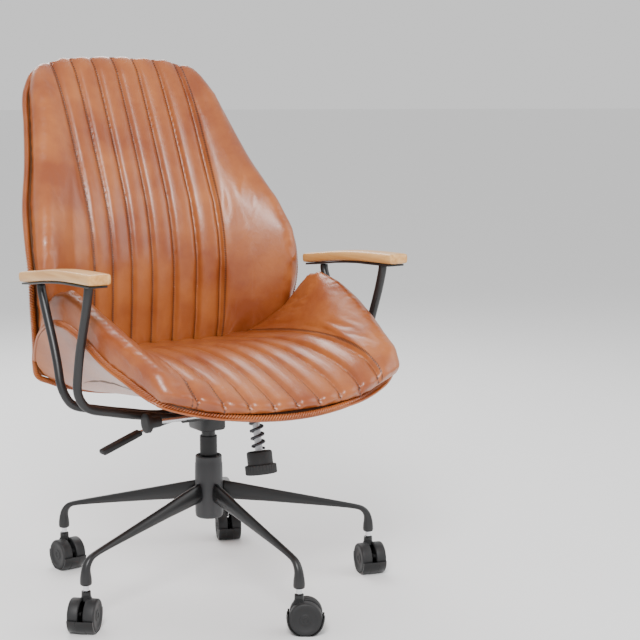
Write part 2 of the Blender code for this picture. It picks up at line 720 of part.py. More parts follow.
# ---------------------------------------------------------------- height lever and tilt lock
lever_points = [
    (0.004, 0, lever_z),
    (LEVER_PIVOT_X, 0, lever_z),
    (-0.054, 0, lever_z - 0.006),
    (-0.100, 0.003, lever_z - 0.0165),
    (-0.158, 0.007, lever_z - 0.030),
]
put(tube("lever_rod", smooth_path(lever_points, 3), LEVER_RADIUS), lever, CHROME)

paddle_start = Vector((-0.140, 0.0055, lever_z - 0.0255))
paddle_lean = Matrix.Rotation(math.radians(-19.5), 4, "Y") @ Matrix.Rotation(math.radians(2), 4, "Z")
paddle = block(
    "lever_paddle",
    (-PADDLE_LENGTH, -PADDLE_WIDTH / 2, -PADDLE_THICKNESS / 2 - 0.001),
    (0, PADDLE_WIDTH / 2, PADDLE_THICKNESS / 2 + 0.001),
    0.0045,
    3,
)
paddle.data.transform(Matrix.Translation(paddle_start) @ paddle_lean)
rod_room = tube("paddle_bore", [Vector(p) for p in smooth_path(lever_points, 3)[8:]], LEVER_RADIUS + 0.0006)
paddle = cut(paddle, rod_room)
put(paddle, lever, BLACK_PLASTIC)

lock_rod_ends = (LOCK_KNOB_X + 0.006, LOCK_Y, lock_z), (LOCK_TIP_X, LOCK_Y, lock_z)
put(rod("lock_rod", *lock_rod_ends, LOCK_ROD_RADIUS, 14), lock, CHROME)
knob_bore = LOCK_ROD_RADIUS + FIT_GAP
lock_knob_profile = [
    (0, 0.006 - FIT_GAP),
    (knob_bore, 0.006 - FIT_GAP),
    (knob_bore, 0.026),
    (0.0095, 0.026),
    (0.0105, 0.006),
    (LOCK_KNOB_RADIUS, 0.004),
    (LOCK_KNOB_RADIUS, -0.003),
    (LOCK_KNOB_RADIUS - 0.003, -0.005),
    (0, -0.005),
]
put(turned("lock_knob", lock_knob_profile, 20, (LOCK_KNOB_X, LOCK_Y, lock_z), (1, 0, 0)), lock, BLACK_PLASTIC)

# ---------------------------------------------------------------- seat and back shapes
# Each row across the seat has its middle (y, z) on the underside and on top, its wing's crest (x, y, z),
# its rim (x, y, z), and how late the top turns up into the wing. The last row lies beyond the meeting
# with the back, which cuts it off. Millimetres, front to rear.
SEAT_ROWS = (
    ((-318, 384), (-321, 399), (224, -288, 434), (240, -260, 417), 2.0),
    ((-305, 383), (-319, 411), (228, -288, 444), (247, -252, 425), 2.2),
    ((-262, 380), (-262, 433), (235, -262, 478), (258, -226, 438), 2.3),
    ((-205, 375), (-205, 451), (246, -212, 501), (266, -193, 450), 3.0),
    ((-145, 371), (-145, 465), (256, -150, 529), (280, -144, 471), 4.5),
    ((-90, 367), (-90, 470), (263, -95, 553), (287, -96, 494), 6.0),
    ((-35, 363), (-35, 469), (263, -40, 574), (290, -44, 514), 7.5),
    ((20, 358.5), (20, 463), (262, 20, 586), (291, 10, 523), 8.0),
    ((75, 354.4), (75, 456), (268, 68, 574), (292, 60, 519), 8.0),
    ((125, 350.6), (125, 449.5), (272, 107, 548), (290, 110, 497), 7.0),
    ((170, 347.3), (175, 443), (270, 132, 519), (283, 148, 464), 5.5),
    ((208, 344.4), (208, 440), (257, 156, 490), (271, 180, 430), 4.5),
    ((262, 340.4), (262, 437), (236, 196, 445), (260, 204, 404), 4.0),
)
# Each row across the back has its middle (y, z) at the rear and in front, its wing's crest, its rim,
# and how late the front and the rear turn. Millimetres, bottom to top.
BACK_ROWS = (
    ((259, 346), (248, 357), (250, 190, 414), (258, 206, 406), 2.0, 2.0),
    ((272, 362), (237, 398), (246, 158, 457), (264, 198, 424), 2.0, 1.9),
    ((280, 385), (225.5, 443), (254, 137, 504), (270, 180, 458), 2.0, 1.9),
    ((287, 414), (220, 500), (258, 126, 533), (277, 165, 500), 2.0, 1.9),
    ((297, 480), (215, 545), (261, 119, 564), (284, 152, 545), 2.2, 1.9),
    ((314, 592), (214, 605), (261, 114, 603), (286, 149, 598), 2.0, 1.9),
    ((331, 650), (222, 660), (258, 124, 662), (283, 169, 660), 2.0, 1.9),
    ((350, 720), (238, 722), (246, 158, 722), (267, 215, 722), 2.0, 1.9),
    ((371, 800), (271, 800), (219, 224, 800), (241, 264, 800), 2.0, 1.9),
    ((390, 875), (306, 875), (197, 268, 875), (220, 315, 872), 2.0, 1.9),
    ((404, 935), (337, 938), (183, 306, 935), (205, 355, 935), 2.4, 2.1),
    ((410, 966), (360, 984), (176, 340, 969), (193, 371, 953), 3.2, 3.0),
    ((413, 984), (382, 1007), (163, 362, 990), (186, 378, 961), 4.0, 4.0),
    ((409, 990), (396, 1009), (152, 374, 995), (178, 384, 968), 4.0, 4.0),
)
seat_x_share = SEAT_HALF_WIDTH / max(row[3][0] for row in SEAT_ROWS)
back_x_share = BACK_HALF_WIDTH / max(row[3][0] for row in BACK_ROWS)
RIM_LOW, RIM_MEETS, RIM_HIGH = 340, 400, 990  # the back's rim: lowest, beside the seat, highest
back_stretch = (BACK_HEIGHT / MM - RIM_MEETS + RIM_LOW) / (RIM_HIGH - RIM_MEETS)


def back_z(z):
    """A height on the back in millimetres, stretched above its meeting with the seat."""
    return z if z <= RIM_MEETS else RIM_MEETS + (z - RIM_MEETS) * back_stretch


SHELL_INSET = 6  # millimetres from the side rims to the shells
WING_STEPS = 3
CENTRE_STEPS = 4
CREST_SHARE = 0.88  # of the way from the middle to the rim, where a wing's crest stands


def soft_row(middle, crest, lateness):
    """Half a row over a cushion, from its middle to the wing's crest."""
    half = []
    for step in range(CENTRE_STEPS + 1):
        share = step / CENTRE_STEPS
        bend = share**lateness
        y = middle[0] + (crest[1] - middle[0]) * bend
        half.append((share * crest[0], y, middle[1] + (crest[2] - middle[1]) * bend))
    return half


def with_wings(surface, edge):
    """Adds both wings' outer sides, each round from its crest to the cushion's edge, in metres."""
    columns = []
    for step in range(1, WING_STEPS + 1):
        swing = math.pi / 2 * step / WING_STEPS
        crest = surface[:, -1]
        side = crest + (edge - crest) * (1 - math.cos(swing))
        side[:, 0] = crest[:, 0] + (edge[:, 0] - crest[:, 0]) * math.sin(swing)
        side[:, 0] += SIDE_BULGE * math.sin(2 * swing)
        columns.append(side)
    right = np.stack(columns, axis=1)
    left = right[:, ::-1] * (-1, 1, 1)
    return np.concatenate([left, surface, right], axis=1)


def hard_row(middle, rim, lateness):
    """Half a row over a thin layer, from its middle to its rim, with points under those of a cushion."""
    shares = [CREST_SHARE * step / CENTRE_STEPS for step in range(CENTRE_STEPS + 1)]
    last = 1 - SHELL_INSET / rim[0]
    shares += [CREST_SHARE + (last - CREST_SHARE) * step / (WING_STEPS - 1) for step in range(1, WING_STEPS)]
    half = []
    for share in (*shares, 1.0):
        bend = share**lateness
        y = middle[0] + (rim[1] - middle[0]) * bend
        half.append((share * rim[0], y, middle[1] + (rim[2] - middle[1]) * bend))
    return half


def grid(half_rows, x_share, height_of=float):
    """Rows of half a surface, mirrored to both sides, in metres."""
    rows = []
    for half in half_rows:
        left = [(x * x_share, y * MM, height_of(z) * MM) for x, y, z in half]
        rows.append([(-x, y, z) for x, y, z in reversed(left[1:])] + left)
    return np.array(rows)


def pushed(surface, distance, towards):
    """The surface moved by a distance along its own normals, to the side that towards points to."""
    along = np.gradient(surface, axis=0)
    across = np.gradient(surface, axis=1)
    normal = np.cross(along, across)
    normal[0], normal[-1] = normal[1], normal[-2]  # the end rows fold too tightly to have their own
    normal /= np.linalg.norm(normal, axis=2, keepdims=True)
    if normal[normal.shape[0] // 2, normal.shape[1] // 2] @ np.array(towards) < 0:
        normal = -normal
    return surface + normal * distance


UP = (0, -0.1, 1)
FORWARD = (0, -1, 0)

SHELL_LOW = COVER_THICKNESS + FIT_GAP
SHELL_HIGH = SHELL_LOW + SHELL_THICKNESS

back_rear = grid([hard_row(row[0], row[3], row[5]) for row in BACK_ROWS], back_x_share, back_z)
back_edge = pushed(back_rear, RIM_BAND, FORWARD)[:, -1]
back_front = grid(
    [soft_row(row[1], row[2], row[4]) for row in BACK_ROWS],
    back_x_share,
    back_z,
)
back_front = with_wings(back_front, back_edge)

# The seat and the back meet along a surface that carries on the lowest rows of the back's front.
MEETING_ROWS = 5
meeting = back_front[:MEETING_ROWS, WING_STEPS:-WING_STEPS]
meeting = np.concatenate([meeting[:1] * 2.2 - meeting[1:2] * 1.2, meeting, meeting[-1:] * 2 - meeting[-2:-1]])
meeting = np.concatenate([meeting[:, :1] - (0.05, 0, 0), meeting, meeting[:, -1:] + (0.05, 0, 0)], axis=1)


def clear_of_meeting(piece, side, solver="EXACT"):
    """Cuts off what reaches past the meeting surface, on the side towards the seat (-1) or the back (1)."""
    near = meeting - (0, side * 0.0006, 0)
    return cut(piece, closed_loft(f"{piece.name}_end", near, near + (0, side * 0.2, 0)), solver)


seat_under = grid([hard_row(row[0], row[3], 3.0) for row in SEAT_ROWS], seat_x_share)
seat_edge = pushed(seat_under, RIM_BAND, UP)[:, -1]
seat_top = with_wings(grid([soft_row(row[1], row[2], row[4]) for row in SEAT_ROWS], seat_x_share), seat_edge)
seat_cover = closed_loft("seat_bottom_cover", pushed(seat_under, COVER_THICKNESS, UP), seat_under)
put(clear_of_meeting(seat_cover, 1), tilt, LEATHER)
seat_shell = closed_loft(
    "seat_shell",
    pushed(seat_under, SHELL_HIGH, UP)[1:-1, 1:-1],
    pushed(seat_under, SHELL_LOW, UP)[1:-1, 1:-1],
)
put(clear_of_meeting(seat_shell, 1), tilt, PLYWOOD)
# The cushions are many-sided lofts that the exact solver cannot cut, so these cuts use the manifold one.
seat_cushion = closed_loft("seat_cushion", seat_top, pushed(seat_under, TOTAL_LAYERS, UP))
seat_cushion = clear_of_meeting(seat_cushion, 1, "MANIFOLD")

back_cover = closed_loft("back_rear_cover", pushed(back_rear, COVER_THICKNESS, FORWARD), back_rear)
put(clear_of_meeting(back_cover, -1), tilt, LEATHER)
back_shell = closed_loft(
    "back_shell",
    pushed(back_rear, SHELL_HIGH, FORWARD)[1:-2, 1:-1],
    pushed(back_rear, SHELL_LOW, FORWARD)[1:-2, 1:-1],
)
put(clear_of_meeting(back_shell, -1), tilt, PLYWOOD)
back_cushion = closed_loft("back_cushion", back_front[1:], pushed(back_rear, TOTAL_LAYERS, FORWARD)[1:])

# A hidden steel strap joins the two shells at the rear of the seat.
seat_limb = TOTAL_LAYERS + FIT_GAP + BRACKET_THICKNESS / 2
bracket_path = [
    (0.120, underside(0.120) + seat_limb),
    (0.228, underside(0.228) + seat_limb),
    (0.2555, 0.366),
    (0.2655, 0.390),
    (0.2715, 0.416),
    (0.2803, 0.470),
]


def strap(name, path, width, thickness):
    """A flat bar bent along a path of (y, z) points."""
    upper, lower = [], []
    for i, (y, z) in enumerate(path):
        before, after = path[max(i - 1, 0)], path[min(i + 1, len(path) - 1)]
        along = Vector((after[0] - before[0], after[1] - before[1])).normalized()
        upper.append((y - along.y * thickness / 2, z + along.x * thickness / 2))
        lower.append((y + along.y * thickness / 2, z - along.x * thickness / 2))
    return side_plate(name, upper + lower[::-1], -width / 2, width / 2)


pocket = 0.0008  # air round the strap inside the cushions
for cushion in (seat_cushion, back_cushion):
    room_width, room_depth = BRACKET_WIDTH + 2 * pocket, BRACKET_THICKNESS + 2 * pocket
    room = strap(f"{cushion.name}_pocket", bracket_path, room_width, room_depth)
    put(cut(cushion, room, "MANIFOLD"), tilt, LEATHER)
put(strap("back_bracket", bracket_path, BRACKET_WIDTH, BRACKET_THICKNESS), tilt, STEEL)

# ---------------------------------------------------------------- arms
# Height of the pad's underside and of its top along the arm. Millimetres, front to rear.
PAD_RISE = ((-192, 616), (-130, 615), (-60, 612.5), (10, 606), (65, 598.5), (116, 593))


def pad_underside(y):
    """Height of the wooden pad's lower face at y."""
    ys = [point[0] * MM for point in PAD_RISE]
    zs = [point[1] * MM for point in PAD_RISE]
    return float(np.interp(y, ys, zs))


def arched_bar(name, side, width, inset, drop, thickness, bevel):
    """A bar as long as the pad and arched like it, whose top is drop below the pad's underside."""
    data = bpy.data.meshes.new(name)
    work = bmesh.new()
    bmesh.ops.create_grid(work, x_segments=1, y_segments=8, size=0.5)
    start, end = PAD_RISE[0][0] * MM + inset, PAD_RISE[-1][0] * MM - inset
    for vert in work.verts:
        y = start + (vert.co.y + 0.5) * (end - start)
        vert.co = (side * ARM_PAD_X + vert.co.x * width, y, pad_underside(y) - drop)
    work.to_mesh(data)
    work.free()
    made = mesh_object(name, data)
    wall = made.modifiers.new("thickness", "SOLIDIFY")
    wall.thickness = thickness
    wall.offset = -1
    rounding = made.modifiers.new("edges", "BEVEL")
    rounding.width = bevel
    rounding.segments = 2
    rounding.limit_method = "ANGLE"
    rounding.angle_limit = math.radians(50)
    return as_mesh(made)


TUBE_END_GAP = 0.001
FRONT_TUBE = (
    (-140, 604), (-129, 568), (-114, 530), (-99, 492), (-89, 453), (-84.6, 421),
)
REAR_TUBE = (
    (61, 584), (44, 552), (30, 525), (11, 490), (-6, 449), (-15, 421),
)


def arm_path(upright, low_y, side):
    """The tube's route from the pad down beside the seat and in under it. Upright points are (y, z) in mm."""
    top_y = upright[0][0] * MM
    pad_end = pad_underside(top_y) - PAD_PLATE_THICKNESS - FIT_GAP - TUBE_END_GAP
    under = plate_bottom(low_y) - FIT_GAP - ARM_TUBE_RADIUS
    points = [(ARM_X, y * MM, z * MM) for y, z in upright]
    points += [
        (ARM_X - 0.010, low_y, under + 0.045),
        (ARM_X - 0.026, low_y, under + 0.033),
        (ARM_X - 0.054, low_y, under + 0.0265),
        (ARM_X - 0.094, low_y, under + 0.0175),
        (ARM_X - 0.131, low_y, under + 0.0105),
        (ARM_X - 0.164, low_y, under + 0.0035),
        (SADDLE_OUTER_X + 0.008, low_y, under),
    ]
    curve = smooth_path(points, 2)
    first = curve[0].copy()
    first.z = pad_end
    route = [first, *curve, Vector((TUBE_INNER_X, low_y, under))]
    return [Vector((side * p.x, p.y, p.z)) for p in route]


def saddle(name, side):
    """A pressed strap under the seat plate with a valley round each tube."""
    reach = ARM_TUBE_RADIUS + FIT_GAP * 2
    path = [(FRONT_TUBE_Y - 0.022, 0)]
    for tube_y in (FRONT_TUBE_Y, REAR_TUBE_Y):
        centre = plate_bottom(tube_y) - FIT_GAP - ARM_TUBE_RADIUS
        path.append((tube_y - reach - 0.001, 0))
        for step in range(7):
            swing = math.pi * (1 + step / 6)
            path.append((tube_y + reach * math.cos(swing), centre + reach * math.sin(swing)))
        path.append((tube_y + reach + 0.001, 0))
    path.append((REAR_TUBE_Y + 0.018, 0))
    points = [(y, z if z else plate_bottom(y) - FIT_GAP) for y, z in path]
    data = bpy.data.meshes.new(name)
    work = bmesh.new()
    bmesh.ops.create_grid(work, x_segments=len(points) - 1, y_segments=1, size=0.5)
    for vert in work.verts:
        y, z = points[round((vert.co.x + 0.5) * (len(points) - 1))]
        across = SADDLE_INNER_X + (vert.co.y + 0.5) * (SADDLE_OUTER_X - SADDLE_INNER_X)
        vert.co = (side * across, y, z)
    bmesh.ops.recalc_face_normals(work, faces=work.faces)
    work.faces.ensure_lookup_table()
    if work.faces[0].normal.z < 0:
        bmesh.ops.reverse_faces(work, faces=work.faces)
    work.to_mesh(data)
    work.free()
    made = mesh_object(name, data)
    wall = made.modifiers.new("thickness", "SOLIDIFY")
    wall.thickness = SADDLE_THICKNESS
    wall.offset = -1
    wall.use_even_offset = True
    return as_mesh(made)


for side, hand in ((1, "left"), (-1, "right")):
    pad = arched_bar(f"arm_pad_{hand}", side, PAD_WIDTH, 0, -PAD_THICKNESS, PAD_THICKNESS, 0.006)
    put(pad, tilt, BEECH)
    plate_width = PAD_WIDTH - 2 * PAD_PLATE_INSET
    thin = PAD_PLATE_THICKNESS - FIT_GAP
    pad_plate = arched_bar(f"arm_plate_{hand}", side, plate_width, 0.010, FIT_GAP, thin, 0.001)
    put(pad_plate, tilt, BLACK_POWDER)
    for place, upright, low_y in (("front", FRONT_TUBE, FRONT_TUBE_Y), ("rear", REAR_TUBE, REAR_TUBE_Y)):
        arm_tube = tube(f"arm_tube_{place}_{hand}", arm_path(upright, low_y, side), ARM_TUBE_RADIUS)
        put(arm_tube, tilt, BLACK_POWDER)
    put(saddle(f"arm_saddle_{hand}", side), tilt, BLACK_POWDER)

# ---------------------------------------------------------------- casters
WHEEL_INNER = WHEEL_SPACING / 2
WHEEL_OUTER = WHEEL_INNER + WHEEL_WIDTH
half_facet = math.pi / WHEEL_FACETS


def wheel_mesh():
    """One wheel about its own axis, with a flat of its tread at the bottom. Its outer side is closed."""
    bore = CASTER_AXLE_RADIUS + RUN_GAP
    hollow = WHEEL_INNER + 0.0095
    profile = [
        (0, WHEEL_OUTER),
        (WHEEL_RADIUS - 0.003, WHEEL_OUTER),
        (WHEEL_RADIUS, WHEEL_OUTER - 0.002),
        (WHEEL_RADIUS, WHEEL_INNER),
        (WHEEL_RADIUS - WHEEL_WALL, WHEEL_INNER),
        (WHEEL_RADIUS - WHEEL_WALL, hollow),
        (bore, hollow),
        (bore, WHEEL_OUTER - 0.0025),
        (0, WHEEL_OUTER - 0.0025),
    ]
    made = turned("wheel_pattern", profile, WHEEL_FACETS, axis=(0, 1, 0))
    low = min(v.co.z for v in made.data.vertices)
    touching = sum(1 for v in made.data.vertices if v.co.z < low + 1e-6)
    if touching < 4:
        made.data.transform(Matrix.Rotation(half_facet, 4, "Y"))
    data = made.data
    bpy.data.objects.remove(made, do_unlink=True)
    return data


def hood_mesh():
    """The glossy body of a caster, about its axle: a half shell over both wheels, a web and a boss."""
    web = WHEEL_INNER - 0.0008
    half = WHEEL_OUTER - 0.0006
    profile = [
        (0, half),
        (HOOD_RADIUS - 0.001, half),
        (HOOD_RADIUS, half - 0.001),
        (HOOD_RADIUS, -half + 0.001),
        (HOOD_RADIUS - 0.001, -half),
        (0, -half),
    ]
    made = turned("hood_pattern", profile, WHEEL_FACETS, axis=(0, 1, 0))
    boss_top = HOOD_RADIUS + STEM_BOSS_RISE
    boss_radius = STEM_RADIUS + STEM_BOSS_WALL
    boss_low = (-CASTER_TRAIL, 0, HOOD_RADIUS / 2)
    made = join(made, rod("stem_boss", boss_low, (-CASTER_TRAIL, 0, boss_top), boss_radius, 12))
    for side in (-1, 1):
        room_radius = HOOD_RADIUS - HOOD_WALL
        room = rod("wheel_room", (0, side * web, 0), (0, side * 2 * half, 0), room_radius, WHEEL_FACETS)
        made = cut(made, room)
    under = HOOD_RADIUS * 1.5
    made = cut(made, block("hood_trim", (-under, -under, -under), (under, under, HOOD_SKIRT)))
    hub = rod("axle_hub", (0, -web, 0), (0, web, 0), -HOOD_SKIRT + 0.001, 12)
    made = join(made, hub)
    axle_end = WHEEL_OUTER - 0.003
    made = join(made, rod("caster_axle", (0, -axle_end, 0), (0, axle_end, 0), CASTER_AXLE_RADIUS, 12))
    bore_radius = (SPIGOT_RADIUS + FIT_GAP) * facet_room
    bore_low = (-CASTER_TRAIL, 0, boss_top - STEM_IN_HOOD - FIT_GAP)
    made = cut(made, rod("stem_bore", bore_low, (-CASTER_TRAIL, 0, boss_top + 0.01), bore_radius, 12))
    data = made.data
    bpy.data.objects.remove(made, do_unlink=True)
    return data


def stem_mesh():
    """The bright stem, about its own axis and from the socket plane, with a thin spigot in the hood."""
    top, shoulder = STEM_IN_LEG, -STEM_NECK + FIT_GAP
    low = -STEM_NECK - STEM_IN_HOOD
    profile = [
        (0, top),
        (STEM_RADIUS - 0.001, top),
        (STEM_RADIUS, top - 0.001),
        (STEM_RADIUS, shoulder),
        (SPIGOT_RADIUS, shoulder),
        (SPIGOT_RADIUS, low),
        (0, low),
    ]
    made = turned("stem_pattern", profile, 12)
    data = made.data
    bpy.data.objects.remove(made, do_unlink=True)
    return data


wheel_pattern, hood_pattern, stem_pattern = wheel_mesh(), hood_mesh(), stem_mesh()
for number, (leg_angle, axle_turn) in enumerate(zip(LEG_ANGLES, CASTER_TURNS), 1):
    around = math.radians(leg_angle)
    stem_place = Vector((CASTER_CIRCLE * math.cos(around), CASTER_CIRCLE * math.sin(around), SOCKET_Z))
    caster = joint_empty(f"caster_swivel_{number}", stem_place, base)
    trail = Matrix.Translation(stem_place) @ Matrix.Rotation(math.radians(axle_turn + 90), 4, "Z")
    on_axle = trail @ Matrix.Translation((CASTER_TRAIL, 0, -AXLE_DROP))
    axle_place = on_axle @ Vector((0, 0, 0))
    stem = mesh_object(f"caster_stem_{number}", stem_pattern.copy())
    stem.data.transform(trail)
    put(stem, base, CHROME)
    hood = mesh_object(f"caster_hood_{number}", hood_pattern.copy())
    hood.data.transform(on_axle)
    put(hood, caster, ((0.01, 0.01, 0.011), 0.15, 0.0))
    for letter, flip in (("a", 0.0), ("b", math.pi)):
        wheel_axle = joint_empty(f"caster_wheel_axle_{number}{letter}", axle_place, caster)
        wheel = mesh_object(f"caster_wheel_{number}{letter}", wheel_pattern.copy())
        wheel.data.transform(on_axle @ Matrix.Rotation(flip, 4, "Z"))
        put(wheel, wheel_axle, BLACK_PLASTIC)

# ---------------------------------------------------------------- place the whole chair on its own frame
# The frame's origin is under the middle of the chair's box, on the floor.
bpy.context.view_layer.update()
corners = [v.co for piece in chair.objects if piece.type == "MESH" for v in piece.data.vertices]
lowest = [min(corner[axis] for corner in corners) for axis in range(3)]
highest = [max(corner[axis] for corner in corners) for axis in range(3)]
root.location = (-(lowest[0] + highest[0]) / 2, -(lowest[1] + highest[1]) / 2, -lowest[2])
for tool in list(cutters.objects):
    tool.parent = root
bpy.context.view_layer.update()
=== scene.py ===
# %% [markdown]
# # A swivel office chair, finished for the eye
# The working model already has every piece at its real size. This script dresses it: sewn leather with
# channels and piping, powder-coated tubes, moulded casters and oiled beech. Each cell makes one thing.
# The first one loads the model. Nothing made here may outgrow it.

# %% Load the working model
import json
import math

import bpy
from mathutils import Matrix, Vector


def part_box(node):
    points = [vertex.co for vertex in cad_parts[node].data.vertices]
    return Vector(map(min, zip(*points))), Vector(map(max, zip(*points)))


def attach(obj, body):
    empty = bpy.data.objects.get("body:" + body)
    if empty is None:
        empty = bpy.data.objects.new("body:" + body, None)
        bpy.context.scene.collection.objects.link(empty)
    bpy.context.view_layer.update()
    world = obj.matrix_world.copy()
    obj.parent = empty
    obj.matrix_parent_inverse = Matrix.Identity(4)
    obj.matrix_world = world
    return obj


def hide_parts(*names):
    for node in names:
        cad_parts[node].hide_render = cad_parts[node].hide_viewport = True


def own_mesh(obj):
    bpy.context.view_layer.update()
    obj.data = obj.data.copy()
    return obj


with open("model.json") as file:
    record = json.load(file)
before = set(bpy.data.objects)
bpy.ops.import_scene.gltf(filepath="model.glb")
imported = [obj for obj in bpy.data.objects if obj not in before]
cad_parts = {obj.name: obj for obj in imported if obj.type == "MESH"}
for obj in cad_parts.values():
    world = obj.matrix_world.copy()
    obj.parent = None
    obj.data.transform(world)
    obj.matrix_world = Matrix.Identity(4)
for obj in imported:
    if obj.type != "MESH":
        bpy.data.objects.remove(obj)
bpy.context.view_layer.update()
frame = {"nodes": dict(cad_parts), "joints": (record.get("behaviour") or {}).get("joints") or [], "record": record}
MM = 0.001

# %% [markdown]
# The chair's parts are drawn about the gas column, but the model's origin is the middle of its box on the
# floor. The swivel's joint says where the column stands, so every place below starts from it.

# %% Where the column stands
joint_at = {joint["name"]: joint for joint in frame["joints"]}
COLUMN = Vector(joint_at["seat_swivel"]["pos_m"])
FLOOR_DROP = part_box("caster_wheel_1a")[0].z - 0.0003  # the drawing's floor lies this far under the model's
ORIGIN = Vector((COLUMN.x, COLUMN.y, FLOOR_DROP))


def place(x, y, z):
    """A point in metres from millimetres about the column and above the floor."""
    return ORIGIN + Vector((x, y, z)) * MM


print("column at", tuple(round(v, 4) for v in ORIGIN))

# %% [markdown]
# Operators work on what is selected and active. These helpers clear the selection first, so that an
# operator never touches a piece that was left selected by an earlier step.

# %% Selection and modifier helpers
def only(piece):
    """Makes one piece the only selected and active one."""
    bpy.ops.object.select_all(action="DESELECT")
    piece.select_set(True)
    bpy.context.view_layer.objects.active = piece
    return piece


def modified(piece, kind, **settings):
    """Adds a modifier, sets it and applies it."""
    only(piece)
    modifier = piece.modifiers.new(kind.lower(), kind)
    for name, value in settings.items():
        setattr(modifier, name, value)
    bpy.ops.object.modifier_apply(modifier=modifier.name)
    return piece


def smooth(piece, angle=35):
    """Shades a piece smooth except across edges that are sharper than the angle."""
    only(piece)
    bpy.ops.object.shade_smooth_by_angle(angle=math.radians(angle))
    return piece


def set_down(piece):
    """Leaves a piece at the origin, with its place in its mesh."""
    only(piece)
    bpy.ops.object.transform_apply(location=True, rotation=True, scale=True)
    return piece


def outward(piece):
    """Merges doubled points and turns every face outward."""
    only(piece)
    bpy.ops.object.mode_set(mode="EDIT")
    bpy.ops.mesh.select_all(action="SELECT")
    bpy.ops.mesh.remove_doubles(threshold=0.00002)
    bpy.ops.mesh.normals_make_consistent(inside=False)
    bpy.ops.object.mode_set(mode="OBJECT")
    return piece


# %% [markdown]
# A working piece is made of loose, flat triangles. Where its shape is right and only its surface is
# coarse, a copy is merged, its triangles are paired into squares, and a subdivision rounds it. Edges that
# should stay crisp are creased first. Subdivision pulls a round bar in, so the copy is fattened again.

# %% Refined copies of working pieces
def copied(node, name):
    """A merged copy of a working piece, ready to be shaped."""
    source = frame["nodes"][node]
    piece = bpy.data.objects.new(name, source.data.copy())
    bpy.context.scene.collection.objects.link(piece)
    piece.data.materials.clear()
    only(piece)
    bpy.ops.object.mode_set(mode="EDIT")
    bpy.ops.mesh.select_all(action="SELECT")
    bpy.ops.mesh.customdata_custom_splitnormals_clear()
    bpy.ops.mesh.remove_doubles(threshold=0.00002)
    bpy.ops.object.mode_set(mode="OBJECT")
    return piece


def rounded(node, name, crease=50, levels=2, fatten=0.0):
    """A copy whose surface is subdivided. Edges sharper than crease degrees stay crisp."""
    piece = copied(node, name)
    bpy.ops.object.mode_set(mode="EDIT")
    bpy.ops.mesh.select_all(action="SELECT")
    bpy.ops.mesh.tris_convert_to_quads(face_threshold=math.radians(50), shape_threshold=math.radians(60))
    bpy.ops.mesh.select_all(action="DESELECT")
    bpy.ops.mesh.select_mode(type="EDGE")
    bpy.ops.mesh.edges_select_sharp(sharpness=math.radians(crease))
    bpy.ops.transform.edge_crease(value=0.9)
    bpy.ops.mesh.select_mode(type="VERT")
    bpy.ops.object.mode_set(mode="OBJECT")
    modified(piece, "SUBSURF", levels=levels, render_levels=levels)
    if fatten:
        modified(piece, "DISPLACE", strength=fatten, mid_level=0.0)
    return smooth(piece, crease)


def edged(node, name, width=0.0006):
    """A copy of a hard, flat-sided piece with its edges broken by a small bevel."""
    piece = copied(node, name)
    bpy.ops.object.mode_set(mode="EDIT")
    bpy.ops.mesh.select_all(action="SELECT")
    bpy.ops.mesh.dissolve_limited(angle_limit=math.radians(1))
    bpy.ops.object.mode_set(mode="OBJECT")
    modified(piece, "BEVEL", width=width, segments=2, limit_method="ANGLE", angle_limit=math.radians(40))
    return smooth(piece, 40)


# %% [markdown]
# Turned pieces such as wheels, the hub and the knob start as one point, which is extruded along the
# outline and spun round its axis, as on a lathe.

# %% A lathe
def turned(name, outline, centre, axis, steps=64, angle=360.0, begin=0.0):
    """Spins an outline of (radius, height) in millimetres about an axis through centre."""
    bpy.ops.object.select_all(action="DESELECT")
    bpy.ops.mesh.primitive_plane_add(size=0.001)
    piece = bpy.context.object
    piece.name = name
    bpy.ops.object.mode_set(mode="EDIT")
    bpy.ops.mesh.select_mode(type="VERT")
    bpy.ops.mesh.select_all(action="SELECT")
    bpy.ops.mesh.merge(type="CENTER")
    points = [Vector((radius * MM, 0, height * MM)) for radius, height in outline]
    bpy.ops.transform.translate(value=points[0])
    for here, there in zip(points, points[1:]):
        bpy.ops.mesh.extrude_region_move(TRANSFORM_OT_translate={"value": there - here})
    bpy.ops.mesh.select_all(action="SELECT")
    bpy.ops.mesh.spin(steps=steps, angle=math.radians(angle), center=(0, 0, 0), axis=(0, 0, 1))
    bpy.ops.object.mode_set(mode="OBJECT")
    outward(piece)
    lean = Vector((0, 0, 1)).rotation_difference(Vector(axis)).to_matrix().to_4x4()
    piece.matrix_world = Matrix.Translation(centre) @ lean @ Matrix.Rotation(math.radians(begin), 4, "Z")
    return set_down(piece)


def joined(name, *pieces):
    """Makes one object of several."""
    bpy.ops.object.select_all(action="DESELECT")
    for piece in pieces:
        piece.select_set(True)
    bpy.context.view_layer.objects.active = pieces[0]
    bpy.ops.object.join()
    pieces[0].name = name
    return pieces[0]


def smooth_curve(name, path, closed, resolution):
    """A curve that runs smoothly through a list of points."""
    curve = bpy.data.curves.new(name, "CURVE")
    curve.dimensions = "3D"
    curve.resolution_u = resolution
    spline = curve.splines.new("BEZIER")
    spline.bezier_points.add(len(path) - 1)
    for knot, point in zip(spline.bezier_points, path):
        knot.co = point
        knot.handle_left_type = knot.handle_right_type = "AUTO"
    spline.use_cyclic_u = closed
    piece = bpy.data.objects.new(name, curve)
    bpy.context.scene.collection.objects.link(piece)
    return piece


def bar(name, path, radius, closed=False):
    """A round bar or cord along a smooth path of points."""
    piece = smooth_curve(name, path, closed, 6)
    piece.data.bevel_depth = radius
    piece.data.bevel_resolution = 4
    piece.data.use_fill_caps = not closed
    only(piece)
    bpy.ops.object.convert(target="MESH")
    piece = bpy.context.object
    outward(piece)
    return smooth(piece, 60)


